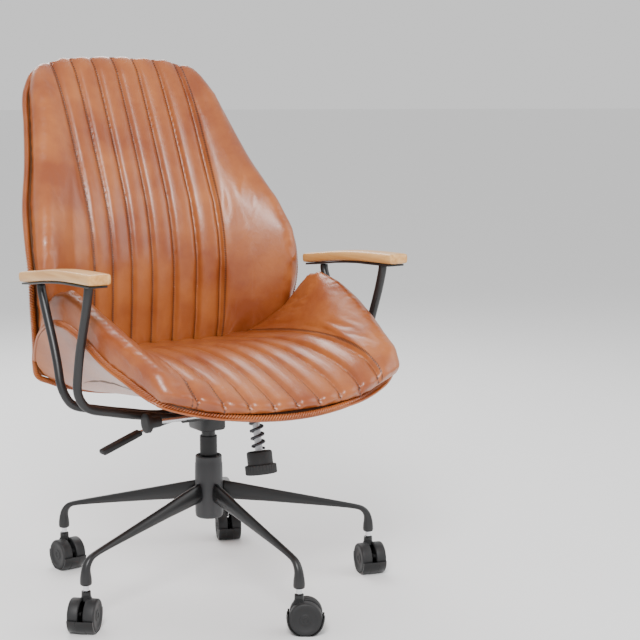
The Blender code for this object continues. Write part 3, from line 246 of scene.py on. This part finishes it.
def done(piece, body, slot, material, *nodes):
    """Gives a finished piece its material, its body and the working nodes that it stands for."""
    piece.data.materials.clear()
    piece.data.materials.append(material)
    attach(piece, body)
    if nodes:
        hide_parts(*nodes)
    print(piece.name, "faces", len(piece.data.polygons))
    return piece


# %% [markdown]
# The camera stands a little to the sitter's right and just above the seat, with a long lens that keeps
# the wings and legs from spreading. It is turned towards the chair, so it needs no shift.

# %% Camera
AZIMUTH = math.radians(-29.06)
ELEVATION = math.radians(9.58)
DISTANCE = 2.7968
LENS = 83.35
AIM_RIGHT = 0.0762  # the frame's middle, beside and above the column, per metre of distance
AIM_UP = 0.0218

camera_data = bpy.data.cameras.new("camera")
camera_data.lens = LENS
camera_data.sensor_width = 36
camera = bpy.data.objects.new("camera", camera_data)
bpy.context.scene.collection.objects.link(camera)
bpy.context.scene.camera = camera
back_way = Vector((
    math.sin(AZIMUTH) * math.cos(ELEVATION),
    -math.cos(AZIMUTH) * math.cos(ELEVATION),
    math.sin(ELEVATION),
))
right_way = Vector((math.cos(AZIMUTH), math.sin(AZIMUTH), 0))
up_way = right_way.cross(-back_way)
camera.location = place(0, 0, 448.5) + back_way * DISTANCE
aim = -back_way + right_way * AIM_RIGHT + up_way * AIM_UP
camera.rotation_euler = aim.to_track_quat("-Z", "Y").to_euler()
print("camera at", tuple(round(v, 3) for v in camera.location))

# %% [markdown]
# A pale floor and large area lights give the even light of a furniture photograph: a broad key from the
# front left, a fill from the right and a strip from behind, which draws the edges of the leather.

# %% Floor and lights
bpy.ops.object.select_all(action="DESELECT")
bpy.ops.mesh.primitive_plane_add(size=400, location=(0, 0, -0.0004))
floor = bpy.context.object
floor.name = "floor"


def softbox(name, spot, aimed, size, watts):
    """A square area light that faces a point."""
    data = bpy.data.lights.new(name, "AREA")
    data.size = size
    data.energy = watts
    lamp = bpy.data.objects.new(name, data)
    bpy.context.scene.collection.objects.link(lamp)
    lamp.location = spot
    lamp.rotation_euler = (Vector(aimed) - Vector(spot)).to_track_quat("-Z", "Y").to_euler()
    return lamp


softbox("key_light", (-1.6, -2.2, 2.6), (0, 0, 0.5), 1.1, 120)
softbox("fill_light", (2.4, -1.6, 1.7), (0, 0, 0.5), 2.0, 30)
softbox("rim_light", (0.6, 2.2, 2.3), (0, 0, 0.6), 1.8, 60)
world = bpy.data.worlds.new("studio")
world.use_nodes = True
world.node_tree.nodes["Background"].inputs["Color"].default_value = (1.0, 1.0, 1.0, 1)
world.node_tree.nodes["Background"].inputs["Strength"].default_value = 0.9
bpy.context.scene.world = world
print("lights", 3)

# %% [markdown]
# Every finish is a small network of nodes. Colours are written as sRGB hex, the way a paint shop would
# write them, and turned to linear light by one function. Patterns read Object coordinates, which are real
# metres here, so a grain of one millimetre is a scale of a thousand.

# %% Colour and node helpers
def colour(code):
    """Linear colour from sRGB hex."""
    parts = [int(code[i:i + 2], 16) / 255 for i in (1, 3, 5)]
    return tuple(c / 12.92 if c <= 0.04045 else ((c + 0.055) / 1.055) ** 2.4 for c in parts) + (1.0,)


def node(material, kind, links=None, **settings):
    """Adds a node. Settings go on the node, and links go to its inputs, as sockets or as plain values."""
    made = material.node_tree.nodes.new(kind)
    for name, value in settings.items():
        setattr(made, name, value)
    for socket, value in (links or {}).items():
        if isinstance(value, bpy.types.NodeSocket):
            material.node_tree.links.new(value, made.inputs[socket])
        else:
            made.inputs[socket].default_value = value
    return made


def finish(name, code, roughness, metallic=0.0, **sockets):
    """A Principled material with its constant values on the shader's own sockets."""
    made = bpy.data.materials.new(name)
    made.use_nodes = True
    shader = made.node_tree.nodes["Principled BSDF"]
    shader.inputs["Base Color"].default_value = colour(code)
    shader.inputs["Roughness"].default_value = roughness
    shader.inputs["Metallic"].default_value = metallic
    for socket, value in sockets.items():
        shader.inputs[socket.replace("_", " ")].default_value = value
    return made, shader


def per_mm(size):
    """The scale at which a noise pattern's features are about that many millimetres wide."""
    return 1 / (size * MM)


def object_place(material):
    return node(material, "ShaderNodeTexCoord").outputs["Object"]


def maths(material, operation, first, second=None):
    """One step of arithmetic on values or sockets, as an output socket."""
    links = {0: first} if second is None else {0: first, 1: second}
    return node(material, "ShaderNodeMath", links, operation=operation).outputs[0]


def ranged(material, value, source=(0.0, 1.0), target=(0.0, 1.0), **settings):
    """Maps a value from a source range to a target range, as an output socket."""
    links = {"Value": value, "From Min": source[0], "From Max": source[1],
             "To Min": target[0], "To Max": target[1]}
    return node(material, "ShaderNodeMapRange", links, **settings).outputs["Result"]


def two_tone(material, value, low, dark, high, light):
    """Colours a pattern from dark to light between two of its values."""
    tint = node(material, "ShaderNodeValToRGB", {"Fac": value})
    for element, position, code in zip(tint.color_ramp.elements, (low, high), (dark, light)):
        element.position = position
        element.color = colour(code)
    return tint


def glossed(material, shader, pattern, rough_low, rough_high):
    """Lets a pattern vary the roughness between two values."""
    gloss = ranged(material, pattern.outputs["Fac"], target=(rough_low, rough_high))
    material.node_tree.links.new(gloss, shader.inputs["Roughness"])


def mottled(material, at, shader, size, dark, light, rough_low, rough_high):
    """Varies colour and roughness in soft patches of a given size."""
    patches = node(material, "ShaderNodeTexNoise",
                   {"Vector": at, "Scale": per_mm(size), "Detail": 5.0, "Roughness": 0.6})
    tint = two_tone(material, patches.outputs["Fac"], 0.36, dark, 0.66, light)
    material.node_tree.links.new(tint.outputs["Color"], shader.inputs["Base Color"])
    glossed(material, shader, patches, rough_low, rough_high)
    return tint


def bumped(material, shader, height, distance, strength=1.0, under=None):
    """Turns a height pattern into relief of a given depth in metres, on top of another relief if given."""
    links = {"Height": height, "Distance": distance, "Strength": strength}
    if under is not None:
        links["Normal"] = under
    relief = node(material, "ShaderNodeBump", links)
    material.node_tree.links.new(relief.outputs["Normal"], shader.inputs["Normal"])
    return relief.outputs["Normal"]


print("helpers ready")

# %% [markdown]
# ## Leather
# The covers are a cognac, semi-aniline cowhide. Its dye soaks in unevenly, so the colour drifts over a
# hand's width. Its grain is a net of pores about a millimetre across, drawn at 1.5 mm so that it shows.
# Sewn seams run front to back one channel apart, so a seam is a line where the sideways distance to it is
# zero. The material darkens that line, stitch by stitch, and sinks it.

# %% Leather with sewn channels
CHANNEL = 46.0  # millimetres between seams
DOUBLE_SEAM = 0.17  # of a channel, from an outermost seam to its twin
STITCH = 4.5  # millimetres from one stitch to the next, drawn a little long so that it shows


def leather(name, seams, along="Z", cross=None):
    """Cowhide with seams at whole channels out to that number each side, or with none.

    The outermost seams are doubled, unless cross gives the height of one seam that runs across.
    """
    made, shader = finish(name, "#9C5325", 0.33, Coat_Weight=0.3, Coat_Roughness=0.22)
    at = object_place(made)
    tint = mottled(made, at, shader, 110, "#8A431C", "#A9602C", 0.26, 0.4)
    grain = node(made, "ShaderNodeTexVoronoi", {"Vector": at, "Scale": per_mm(1.5), "Randomness": 1.0},
                 feature="DISTANCE_TO_EDGE")
    pores = ranged(made, grain.outputs["Distance"], (0.0, 0.25))
    normal = bumped(made, shader, pores, 0.00012, 0.55)
    folds = node(made, "ShaderNodeTexNoise",
                 {"Vector": at, "Scale": per_mm(14), "Detail": 4.0, "Distortion": 0.8})
    normal = bumped(made, shader, folds.outputs["Fac"], 0.0012, 0.35, normal)
    if seams is None:
        return made
    parts = node(made, "ShaderNodeSeparateXYZ", {"Vector": at}).outputs
    side = maths(made, "SUBTRACT", parts["X"], ORIGIN.x)
    count = maths(made, "DIVIDE", side, CHANNEL * MM)
    away = maths(made, "PINGPONG", count, 0.5)
    line = ranged(made, away, (0.012, 0.05), (1.0, 0.0), interpolation_type="SMOOTHSTEP")
    reach = maths(made, "ABSOLUTE", count)
    inside = maths(made, "LESS_THAN", reach, seams + 0.5)
    seam = maths(made, "MULTIPLY", line, inside)
    if cross is None:
        second = maths(made, "SUBTRACT", reach, seams + DOUBLE_SEAM)
    else:
        second = maths(made, "DIVIDE", maths(made, "SUBTRACT", parts["Z"], cross), CHANNEL * MM)
    second = maths(made, "ABSOLUTE", second)
    other = ranged(made, second, (0.01, 0.04), (1.0, 0.0), interpolation_type="SMOOTHSTEP")
    seam = maths(made, "MAXIMUM", seam, other)
    steps = maths(made, "PINGPONG", parts[along], STITCH * MM / 2)
    thread = ranged(made, steps, (0.0, STITCH * MM / 2), (0.2, 1.0))
    sewn = maths(made, "MULTIPLY", seam, thread)
    shaded = node(made, "ShaderNodeMix", {"Factor": sewn, 6: tint.outputs["Color"], 7: colour("#2E1408")},
                  data_type="RGBA")
    made.node_tree.links.new(shaded.outputs[2], shader.inputs["Base Color"])
    bumped(made, shader, maths(made, "SUBTRACT", 1.0, sewn), 0.0012, 0.8, normal)
    return made


BACK_SEAMS = 3
SEAT_SEAMS = 4
back_hide = leather("cognac_cowhide_back", BACK_SEAMS, "Z")
seat_hide = leather("cognac_cowhide_seat", SEAT_SEAMS, "Y")
plain_hide = leather("cognac_cowhide_plain", None)
REAR_SEAM = 0.592  # height of the seam across the rear cover
rear_hide = leather("cognac_cowhide_rear", 0, cross=REAR_SEAM)
print("leathers", 4)

# %% [markdown]
# ## Metal, plastic and wood
# The tubes, legs and pressings are powder-coated: the baked powder leaves a very fine orange peel. The
# wheels and knobs are moulded polyamide with a spark-eroded texture, and the caster hoods are the same
# plastic from a polished mould. The arm pads are steamed beech with its short brown flecks.

# %% Hard finishes
def powder_coat(name, code, roughness):
    """Baked powder with a fine orange peel, rubbed a little glossier in places."""
    made, shader = finish(name, code, roughness, IOR=1.5)
    at = object_place(made)
    peel = node(made, "ShaderNodeTexNoise", {"Vector": at, "Scale": per_mm(1.6), "Detail": 2.0})
    bumped(made, shader, peel.outputs["Fac"], 0.00008, 0.5)
    wear = node(made, "ShaderNodeTexNoise", {"Vector": at, "Scale": per_mm(35), "Detail": 3.0})
    glossed(made, shader, wear, roughness - 0.06, roughness + 0.08)
    return made


def moulded(name, code, roughness, grit, depth):
    """Plastic with a texture of a given grit in millimetres and a depth in metres."""
    made, shader = finish(name, code, roughness, IOR=1.46)
    at = object_place(made)
    texture = node(made, "ShaderNodeTexNoise", {"Vector": at, "Scale": per_mm(grit), "Detail": 3.0})
    bumped(made, shader, texture.outputs["Fac"], depth, 0.6)
    handling = node(made, "ShaderNodeTexNoise", {"Vector": at, "Scale": per_mm(20), "Detail": 2.0})
    glossed(made, shader, handling, roughness - 0.05, roughness + 0.07)
    return made


def bare_metal(name, code, roughness, streak):
    """Metal whose gloss varies over a few millimetres."""
    made, shader = finish(name, code, roughness, 1.0)
    at = object_place(made)
    lines = node(made, "ShaderNodeTexNoise", {"Vector": at, "Scale": per_mm(streak), "Detail": 4.0})
    glossed(made, shader, lines, roughness, roughness + 0.12)
    return made


def beech(name):
    """Lacquered beech whose grain runs front to back, with short brown flecks."""
    made, shader = finish(name, "#D3A05F", 0.38, Coat_Weight=0.2, Coat_Roughness=0.25)
    at = object_place(made)
    stretched = node(made, "ShaderNodeMapping", {"Vector": at, "Scale": (1.0, 0.06, 1.0)})
    rings = node(made, "ShaderNodeTexNoise", {"Vector": stretched.outputs["Vector"], "Scale": per_mm(9),
                                              "Detail": 6.0, "Distortion": 0.6})
    tint = two_tone(made, rings.outputs["Fac"], 0.3, "#BE8646", 0.72, "#E2B373")
    short = node(made, "ShaderNodeMapping", {"Vector": at, "Scale": (1.0, 0.22, 1.0)})
    flecks = node(made, "ShaderNodeTexVoronoi", {"Vector": short.outputs["Vector"], "Scale": per_mm(2.4)})
    dot = ranged(made, flecks.outputs["Distance"], (0.08, 0.2), (0.45, 0.0))
    mixed = node(made, "ShaderNodeMix", {"Factor": dot, 6: tint.outputs["Color"], 7: colour("#9A6330")},
                 data_type="RGBA")
    made.node_tree.links.new(mixed.outputs[2], shader.inputs["Base Color"])
    bumped(made, shader, rings.outputs["Fac"], 0.0001, 0.4)
    return made


black_coat = powder_coat("black_powder_coat", "#1B1B1C", 0.36)
hub_coat = powder_coat("graphite_powder_coat", "#333335", 0.42)
matte_nylon = moulded("spark_textured_polyamide", "#1D1D1E", 0.55, 1.2, 0.0001)
gloss_nylon = moulded("polished_polyamide", "#101011", 0.14, 12, 0.00003)
bright_chrome = bare_metal("bright_chrome_plate", "#D8D9DC", 0.06, 4)
dark_steel = bare_metal("oil_blackened_spring_steel", "#4C4C50", 0.28, 2)
plain_steel = bare_metal("zinc_plated_steel", "#A9A9AC", 0.26, 3)
steamed_beech = beech("steamed_beech_lacquered")
# The plywood shells show only in the narrow gaps at the cushions' edges, so they are coloured a dark brown as
# painted shade: the shadow in those gaps, not the colour of the ply.
painted_shade_ply = powder_coat("plywood_painted_shade_brown", "#5B3A22", 0.6)
floor_paint, _ = finish("pale_floor", "#F2F2F2", 0.75)
floor.data.materials.append(floor_paint)
by_slot = {
    "tan_leather": plain_hide, "plywood": painted_shade_ply, "steel": plain_steel, "chrome": bright_chrome,
    "black_powder_coat": black_coat, "hub_paint": hub_coat, "black_plastic": matte_nylon,
    "gloss_hood": gloss_nylon, "beech": steamed_beech, "spring_steel": dark_steel,
}
for entry in frame["record"]["subparts"]:
    carried = frame["nodes"][entry["node"]]
    carried.data.materials.clear()
    carried.data.materials.append(by_slot[entry["material_slot"]])
print("finishes", len(by_slot))

# %% [markdown]
# ## Cushions
# A cushion is foam under a sewn cover. Its leather is pulled down at each seam and swells between them. The
# working cushion has the right outline but is smooth, so a copy is remeshed evenly and given a short
# cloth simulation with air pressure inside. Points on the seams are pinned, so the leather swells only
# between them. A cap keeps every point near its own place, and then the seams are pressed in.

# %% Padded cushions by cloth simulation
VOXEL = 0.006
SWELL_CAP = 0.007  # metres that the leather may lift between two seams
SEAM_DEPTH = 0.0060
SEAM_HALF_WIDTH = 0.0046
PUFF = 0.0050
FRAMES = 14


def seam_distance(point, seams):
    """Metres sideways to the nearest seam, or a large value beyond the last one."""
    side = (point.x - ORIGIN.x) / (CHANNEL * MM)
    nearest = min(max(round(side), -seams), seams)
    return abs(side - nearest) * CHANNEL * MM


def sewn_side(normal, faces_way):
    """How much a point belongs to the side that is sewn in channels, from 0 to 1."""
    return min(max((normal.dot(faces_way) - 0.1) / 0.4, 0.0), 1.0)


def cushion(node_name, name, seams, faces_way, material):
    piece = copied(node_name, name)
    modified(piece, "REMESH", mode="VOXEL", voxel_size=VOXEL)
    modified(piece, "SMOOTH", factor=0.5, iterations=6)
    rest = [v.co.copy() for v in piece.data.vertices]
    facing = [sewn_side(v.normal, faces_way) for v in piece.data.vertices]
    pins = piece.vertex_groups.new(name="seams")
    for v in piece.data.vertices:
        held = seam_distance(v.co, seams) < VOXEL / 2 or facing[v.index] < 0.3
        pins.add([v.index], 1.0 if held else 0.0, "REPLACE")
    only(piece)
    cloth = piece.modifiers.new("leather", "CLOTH")
    cloth.settings.quality = 4
    cloth.settings.use_pressure = True
    cloth.settings.uniform_pressure_force = 4
    cloth.settings.effector_weights.gravity = 0
    cloth.settings.vertex_group_mass = "seams"
    cloth.settings.tension_stiffness = cloth.settings.compression_stiffness = 20
    cloth.collision_settings.use_collision = False
    cloth.point_cache.frame_end = FRAMES
    for step in range(1, FRAMES + 1):
        bpy.context.scene.frame_set(step)
    bpy.ops.object.modifier_apply(modifier=cloth.name)
    bpy.context.scene.frame_set(1)
    piece.vertex_groups.clear()
    for v, start in zip(piece.data.vertices, rest):
        moved = v.co - start
        if moved.length > SWELL_CAP:
            v.co = start + moved * (SWELL_CAP / moved.length)
    modified(piece, "SUBSURF", levels=1, render_levels=1)
    normals = [v.normal.copy() for v in piece.data.vertices]
    for v, normal in zip(piece.data.vertices, normals):
        share = sewn_side(normal, faces_way)
        away = seam_distance(v.co, seams)
        if share:
            crown = math.sin(math.pi * min(away / (CHANNEL * MM), 0.5)) - 0.4
            dip = math.exp(-(away / SEAM_HALF_WIDTH) ** 2)
            v.co += normal * share * (PUFF * crown - SEAM_DEPTH * dip)
    only(piece)
    bpy.ops.object.shade_smooth()
    done(piece, "tilt", "tan_leather", material, node_name)
    return piece


cushion("seat_cushion", "seat_pad", SEAT_SEAMS, Vector((0, -0.5, 0.87)), seat_hide)
cushion("back_cushion", "back_pad", BACK_SEAMS, Vector((0, -1, 0.1)), back_hide)

# %% [markdown]
# ## Covers, band and piping
# Behind the cushions lie thin leather covers. Where cover and cushion meet, the makers sewed in a ribbed
# band and a cord covered in leather, called piping. The rim of each cover is one smooth line, so it is
# written once as points for one side and mirrored.

# %% Covers and the rims they end in
for node_name, name, hide in (
    ("seat_bottom_cover", "seat_underside_leather", plain_hide),
    ("back_rear_cover", "back_rear_leather", rear_hide),
):
    done(rounded(node_name, name, crease=55), "tilt", "tan_leather", hide, node_name)

SEAT_RIM = (
    (0, -319, 381), (60, -315, 383), (120, -303, 389), (170, -285, 397), (213, -268, 409), (240, -258, 421),
    (256, -228, 435), (266, -193, 450), (280, -144, 471), (287, -96, 494), (290, -44, 514), (291, 10, 523),
    (292, 60, 519), (290, 110, 497), (283, 148, 464), (274, 175, 437),
)
BACK_RIM = (
    (0, 409, 990), (100, 402, 990), (152, 391, 986), (178, 384, 970), (186, 378, 961), (193, 371, 950),
    (205, 355, 930), (220, 315, 872), (241, 264, 800), (267, 215, 722), (283, 169, 660), (286, 149, 598),
    (284, 152, 545), (277, 165, 500), (270, 180, 458), (264, 198, 424), (256, 208, 402), (228, 220, 386),
    (170, 236, 365), (90, 247, 348), (0, 252, 341),
)
SEAT_MIDDLE = 352.0  # height of the seat's underside at the middle, for the slope of its sides
BACK_MIDDLE = (346.0, 259.0, 0.236)  # the back's middle at this height, its y there, and its lean


def seat_rim_normal(x, y, z):
    slope = 3 * (z - SEAT_MIDDLE) / max(abs(x), 120) if y > -240 else 0.3
    return Vector((-math.copysign(slope, x) if x else 0.0, 0, 1)).normalized()


def back_rim_normal(x, y, z):
    height, start, lean = BACK_MIDDLE
    slope = 1.9 * (y - start - lean * (z - height)) / max(abs(x), 150)
    return Vector((math.copysign(slope, x) if x else 0.0, -1, 0)).normalized()


def rim_path(points, normal_of, closed, lift, out):
    """A whole rim, lifted towards its cushion and moved outward, in metres."""
    right = []
    for x, y, z in points:
        normal = normal_of(x, y, z)
        sideways = Vector((1 if x > 60 else 0, 0, 0))
        right.append(place(x, y, z) + normal * lift + sideways * out)
    left = [Vector((2 * ORIGIN.x - p.x, p.y, p.z)) for p in reversed(right) if abs(p.x - ORIGIN.x) > 0.001]
    return right + left if closed else left + right


PIPING = 0.0024
BAND_LIFT = 0.0054
RIMS = (("seat", SEAT_RIM, seat_rim_normal, False), ("back", BACK_RIM, back_rim_normal, True))
for name, points, normal_of, closed in RIMS:
    route = rim_path(points, normal_of, closed, 0.0008, 0.0006)
    done(bar(f"{name}_piping", route, PIPING, closed), "tilt", "tan_leather", plain_hide)

# %% [markdown]
# The band between piping and cushion is gathered leather. One slanted rib is a squashed sphere. An Array
# repeats it for the length of the rim, and a Curve modifier bends the row along it.

# %% Ribbed band
RIB_PITCH = 0.0052
RIB_SIZE = (0.0031, 0.0058, 0.0058)  # half a rib along, across and up


def ribbed_band(name, route, closed):
    """A row of slanted ribs along a route."""
    guide = smooth_curve(f"{name}_guide", route, closed, 8)
    bpy.ops.object.select_all(action="DESELECT")
    bpy.ops.mesh.primitive_uv_sphere_add(segments=8, ring_count=6, radius=1, location=(0, 0, 0))
    rib = bpy.context.object
    rib.name = name
    rib.scale = RIB_SIZE
    set_down(rib)
    for v in rib.data.vertices:
        v.co.x += 0.5 * v.co.y + 0.5 * v.co.z
    modified(rib, "ARRAY", fit_type="FIT_CURVE", curve=guide, use_relative_offset=False,
             use_constant_offset=True, constant_offset_displace=(RIB_PITCH, 0, 0))
    modified(rib, "CURVE", object=guide, deform_axis="POS_X")
    bpy.data.objects.remove(guide)
    only(rib)
    bpy.ops.object.shade_smooth()
    return rib


for name, points, normal_of, closed in RIMS:
    route = rim_path(points, normal_of, closed, BAND_LIFT, -0.0012)
    done(ribbed_band(f"{name}_ribbed_band", route, closed), "tilt", "tan_leather", plain_hide)

# %% [markdown]
# ## Arms
# Each arm is two bent tubes under a beech pad, with a thin steel plate between. The tubes have few sides in
# the working model, so a subdivided and fattened copy makes them round again.

# %% Arm tubes, plates, saddles and pads
TUBE_FATTEN = 0.0007
for hand in ("left", "right"):
    for end in ("front", "rear"):
        node_name = f"arm_tube_{end}_{hand}"
        arm = rounded(node_name, f"bent_tube_{end}_{hand}", crease=70, fatten=TUBE_FATTEN)
        done(arm, "tilt", "black_powder_coat", black_coat, node_name)
    pad = rounded(f"arm_pad_{hand}", f"beech_pad_{hand}", crease=80)
    done(pad, "tilt", "beech", steamed_beech, f"arm_pad_{hand}")
    for part in ("plate", "saddle"):
        pressing = edged(f"arm_{part}_{hand}", f"pressed_{part}_{hand}", 0.0005)
        done(pressing, "tilt", "black_powder_coat", black_coat, f"arm_{part}_{hand}")

# %% [markdown]
# ## Base and column
# Five forged legs are welded round a turned hub. The gas column slides in a guide at the hub's mouth, and a
# telescopic sleeve covers the bare cylinder above it.

# %% Legs, hub and column
for number in range(1, 6):
    leg = rounded(f"leg_{number}", f"forged_leg_{number}", crease=60)
    done(leg, "base", "black_powder_coat", black_coat, f"leg_{number}")

hub_low, hub_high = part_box("hub")
HUB_RADIUS = (hub_high.x - hub_low.x) / 2 / MM
hub_foot = (hub_low.z - ORIGIN.z) / MM
hub_mouth = (hub_high.z - ORIGIN.z) / MM
BORE = 23.4
hub_outline = (
    (BORE, hub_mouth - 3), (BORE + 0.6, hub_mouth), (HUB_RADIUS - 3.2, hub_mouth),
    (HUB_RADIUS - 1.6, hub_mouth - 1.4), (HUB_RADIUS - 1.2, hub_mouth - 14),
    (HUB_RADIUS - 0.6, hub_mouth - 16), (HUB_RADIUS, hub_mouth - 46),
    (HUB_RADIUS, hub_foot + 9), (HUB_RADIUS - 1.2, hub_foot + 2), (HUB_RADIUS - 3.4, hub_foot),
    (BORE, hub_foot), (BORE, hub_foot + 3),
)
hub = smooth(turned("turned_hub", hub_outline, ORIGIN, (0, 0, 1), 72), 30)
done(hub, "base", "hub_paint", hub_coat, "hub")
for node_name, name, body, slot, material in (
    ("column_outer_tube", "column_tube", "base", "hub_paint", hub_coat),
    ("guide_bush", "guide_collar", "base", "black_plastic", matte_nylon),
    ("column_sleeve", "telescopic_sleeve", "lift", "black_plastic", matte_nylon),
    ("gas_cylinder", "gas_spring", "lift", "black_powder_coat", black_coat),
    ("piston_rod", "polished_rod", "swivel", "chrome", bright_chrome),
):
    done(rounded(node_name, name, crease=30, levels=2), body, slot, material, node_name)

# %% [markdown]
# ## Casters
# A twin-wheel caster has two thin wheels under a glossy hood. The wheel's outline is turned with its tread,
# its rounded shoulders and the shallow rings of its hub cap. The hood is spun only half way round, so it
# ends in two straight edges at the axle's level. As the script stands, that half lies under the axle, where
# a real hood lies over it. Each caster is made about its own axle, which the joints give.

# %% Caster parts
WHEEL_R = 29.2
WHEEL_OUT = 24.5  # outer face of a wheel from the middle of the axle
WHEEL_IN = 4.5
HOOD_R = 33.0
wheel_outline = (
    (0, WHEEL_OUT - 1.2), (4.5, WHEEL_OUT - 1.2), (5.2, WHEEL_OUT - 0.3), (9.5, WHEEL_OUT - 0.3),
    (10.4, WHEEL_OUT - 1.1), (19.5, WHEEL_OUT - 1.1), (20.6, WHEEL_OUT - 0.2),
    (WHEEL_R - 3.4, WHEEL_OUT), (WHEEL_R - 1.2, WHEEL_OUT - 0.7), (WHEEL_R - 0.3, WHEEL_OUT - 1.9),
    (WHEEL_R, WHEEL_OUT - 4), (WHEEL_R, WHEEL_IN + 2), (WHEEL_R - 0.8, WHEEL_IN + 0.5),
    (WHEEL_R - 2, WHEEL_IN), (WHEEL_R - 4, WHEEL_IN), (WHEEL_R - 4, WHEEL_IN + 9),
    (5, WHEEL_IN + 9), (5, WHEEL_IN + 1), (0, WHEEL_IN + 1),
)
hood_outline = (
    (HOOD_R - 3.2, 23.9), (HOOD_R - 0.9, 23.4), (HOOD_R - 0.1, 22.0), (HOOD_R, 8.6), (HOOD_R + 1.0, 7.6),
    (HOOD_R + 1.0, -7.6), (HOOD_R, -8.6), (HOOD_R - 0.1, -22.0), (HOOD_R - 0.9, -23.4), (HOOD_R - 3.2, -23.9),
)
web_outline = ((0, 3.6), (HOOD_R - 1.2, 3.6), (HOOD_R - 1.2, -3.6), (0, -3.6))
boss_outline = ((0, 40.0), (6.6, 40.0), (8.3, 38.8), (8.6, 30), (11.5, 24), (0, 24))


def half_round(name, outline, centre, axis):
    """Spins an outline half way round an axle, from level to level, on the lower side."""
    shell = turned(name, outline, (0, 0, 0), (0, 0, 1), 40, 186.0, -3.0)
    across = Vector(axis).normalized()
    ahead = Vector((0, 0, 1)).cross(across)
    turn = Matrix((ahead, Vector((0, 0, 1)), across)).transposed().to_4x4()
    shell.matrix_world = Matrix.Translation(centre) @ turn
    return set_down(shell)


for number in range(1, 6):
    roll = joint_at[f"wheel_roll_{number}a"]
    swivel = joint_at[f"caster_swivel_{number}"]
    axle = Vector(roll["pos_m"])
    line = Vector(roll["axis"])
    for letter in "ab":
        node_name = f"caster_wheel_{number}{letter}"
        low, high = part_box(node_name)
        outer = 1 if ((low + high) / 2 - axle).dot(line) > 0 else -1
        wheel = smooth(turned(f"twin_wheel_{number}{letter}", wheel_outline, axle, line * outer, 56), 40)
        done(wheel, f"wheel_{number}{letter}", "black_plastic", matte_nylon, node_name)
    shell = half_round("shell", hood_outline, axle, line)
    modified(shell, "SOLIDIFY", thickness=0.0017, offset=-1)
    modified(shell, "BEVEL", width=0.0004, segments=2, limit_method="ANGLE", angle_limit=math.radians(60))
    web = outward(half_round("web", web_outline, axle, line))
    stem = Vector(swivel["pos_m"])
    boss = turned("boss", boss_outline, Vector((stem.x, stem.y, axle.z)), (0, 0, 1), 40)
    hood = smooth(joined(f"glossy_hood_{number}", shell, web, boss), 40)
    done(hood, f"caster_{number}", "gloss_hood", gloss_nylon, f"caster_hood_{number}")
    stem_neck = rounded(f"caster_stem_{number}", f"bright_stem_{number}", crease=30)
    done(stem_neck, "base", "chrome", bright_chrome, f"caster_stem_{number}")

# %% [markdown]
# ## Mechanism and controls
# Under the seat sit the plate, the tilt housing, the tension knob with its spring, the height lever and the
# lock. The spring shortens as the seat tilts in the real chair; here it keeps its rest length, on a mesh of its
# own.

# %% Plate, housing and controls
for node_name, name, body, slot, material in (
    ("seat_plate", "pressed_seat_plate", "tilt", "black_powder_coat", black_coat),
    ("mechanism_housing", "tilt_housing", "lift", "black_powder_coat", black_coat),
):
    done(edged(node_name, name), body, slot, material, node_name)
for node_name, name, body, slot, material in (
    ("lever_rod", "height_lever_rod", "lever", "chrome", bright_chrome),
    ("lever_paddle", "height_lever_paddle", "lever", "black_plastic", matte_nylon),
    ("lock_rod", "lock_slide_rod", "lock", "chrome", bright_chrome),
    ("lock_knob", "lock_button", "lock", "black_plastic", matte_nylon),
    ("tension_bolt", "tension_screw", "tilt", "steel", plain_steel),
):
    done(rounded(node_name, name, crease=35), body, slot, material, node_name)

coil = rounded("tension_spring", "tension_coil", crease=70, fatten=0.0003)
done(coil, "lift", "spring_steel", dark_steel, "tension_spring")
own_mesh(coil)

KNOB_R, GRIP_R, RIBS = 23.0, 28.6, 36
knob_outline = (
    (0, 21), (8, 21), (20, 20.5), (22.4, 19), (KNOB_R, 16.5), (KNOB_R, -2.5), (24.0, -3.6), (27.6, -4.2),
    (GRIP_R, -5.4), (GRIP_R, -18.5), (27.6, -20.6), (24, -21.3), (8, -21.3), (7, -20.4), (0, -20.4),
)
knob_joint = joint_at["tension_turn"]
knob_at = Vector(knob_joint["pos_m"])
knob_axis = Vector(knob_joint["axis"]).normalized()
knob = turned("ribbed_tension_knob", knob_outline, knob_at, knob_axis, RIBS * 4)
for v in knob.data.vertices:
    from_axis = v.co - knob_at
    up = from_axis.dot(knob_axis)
    outwards = from_axis - knob_axis * up
    if outwards.length > (GRIP_R - 0.6) * MM:
        turn = math.atan2(outwards.dot(knob_axis.cross(Vector((1, 0, 0)))), outwards.x)
        v.co -= outwards * 0.02 * (1 + math.cos(turn * RIBS))
done(smooth(knob, 30), "knob", "black_plastic", matte_nylon, "tension_knob")
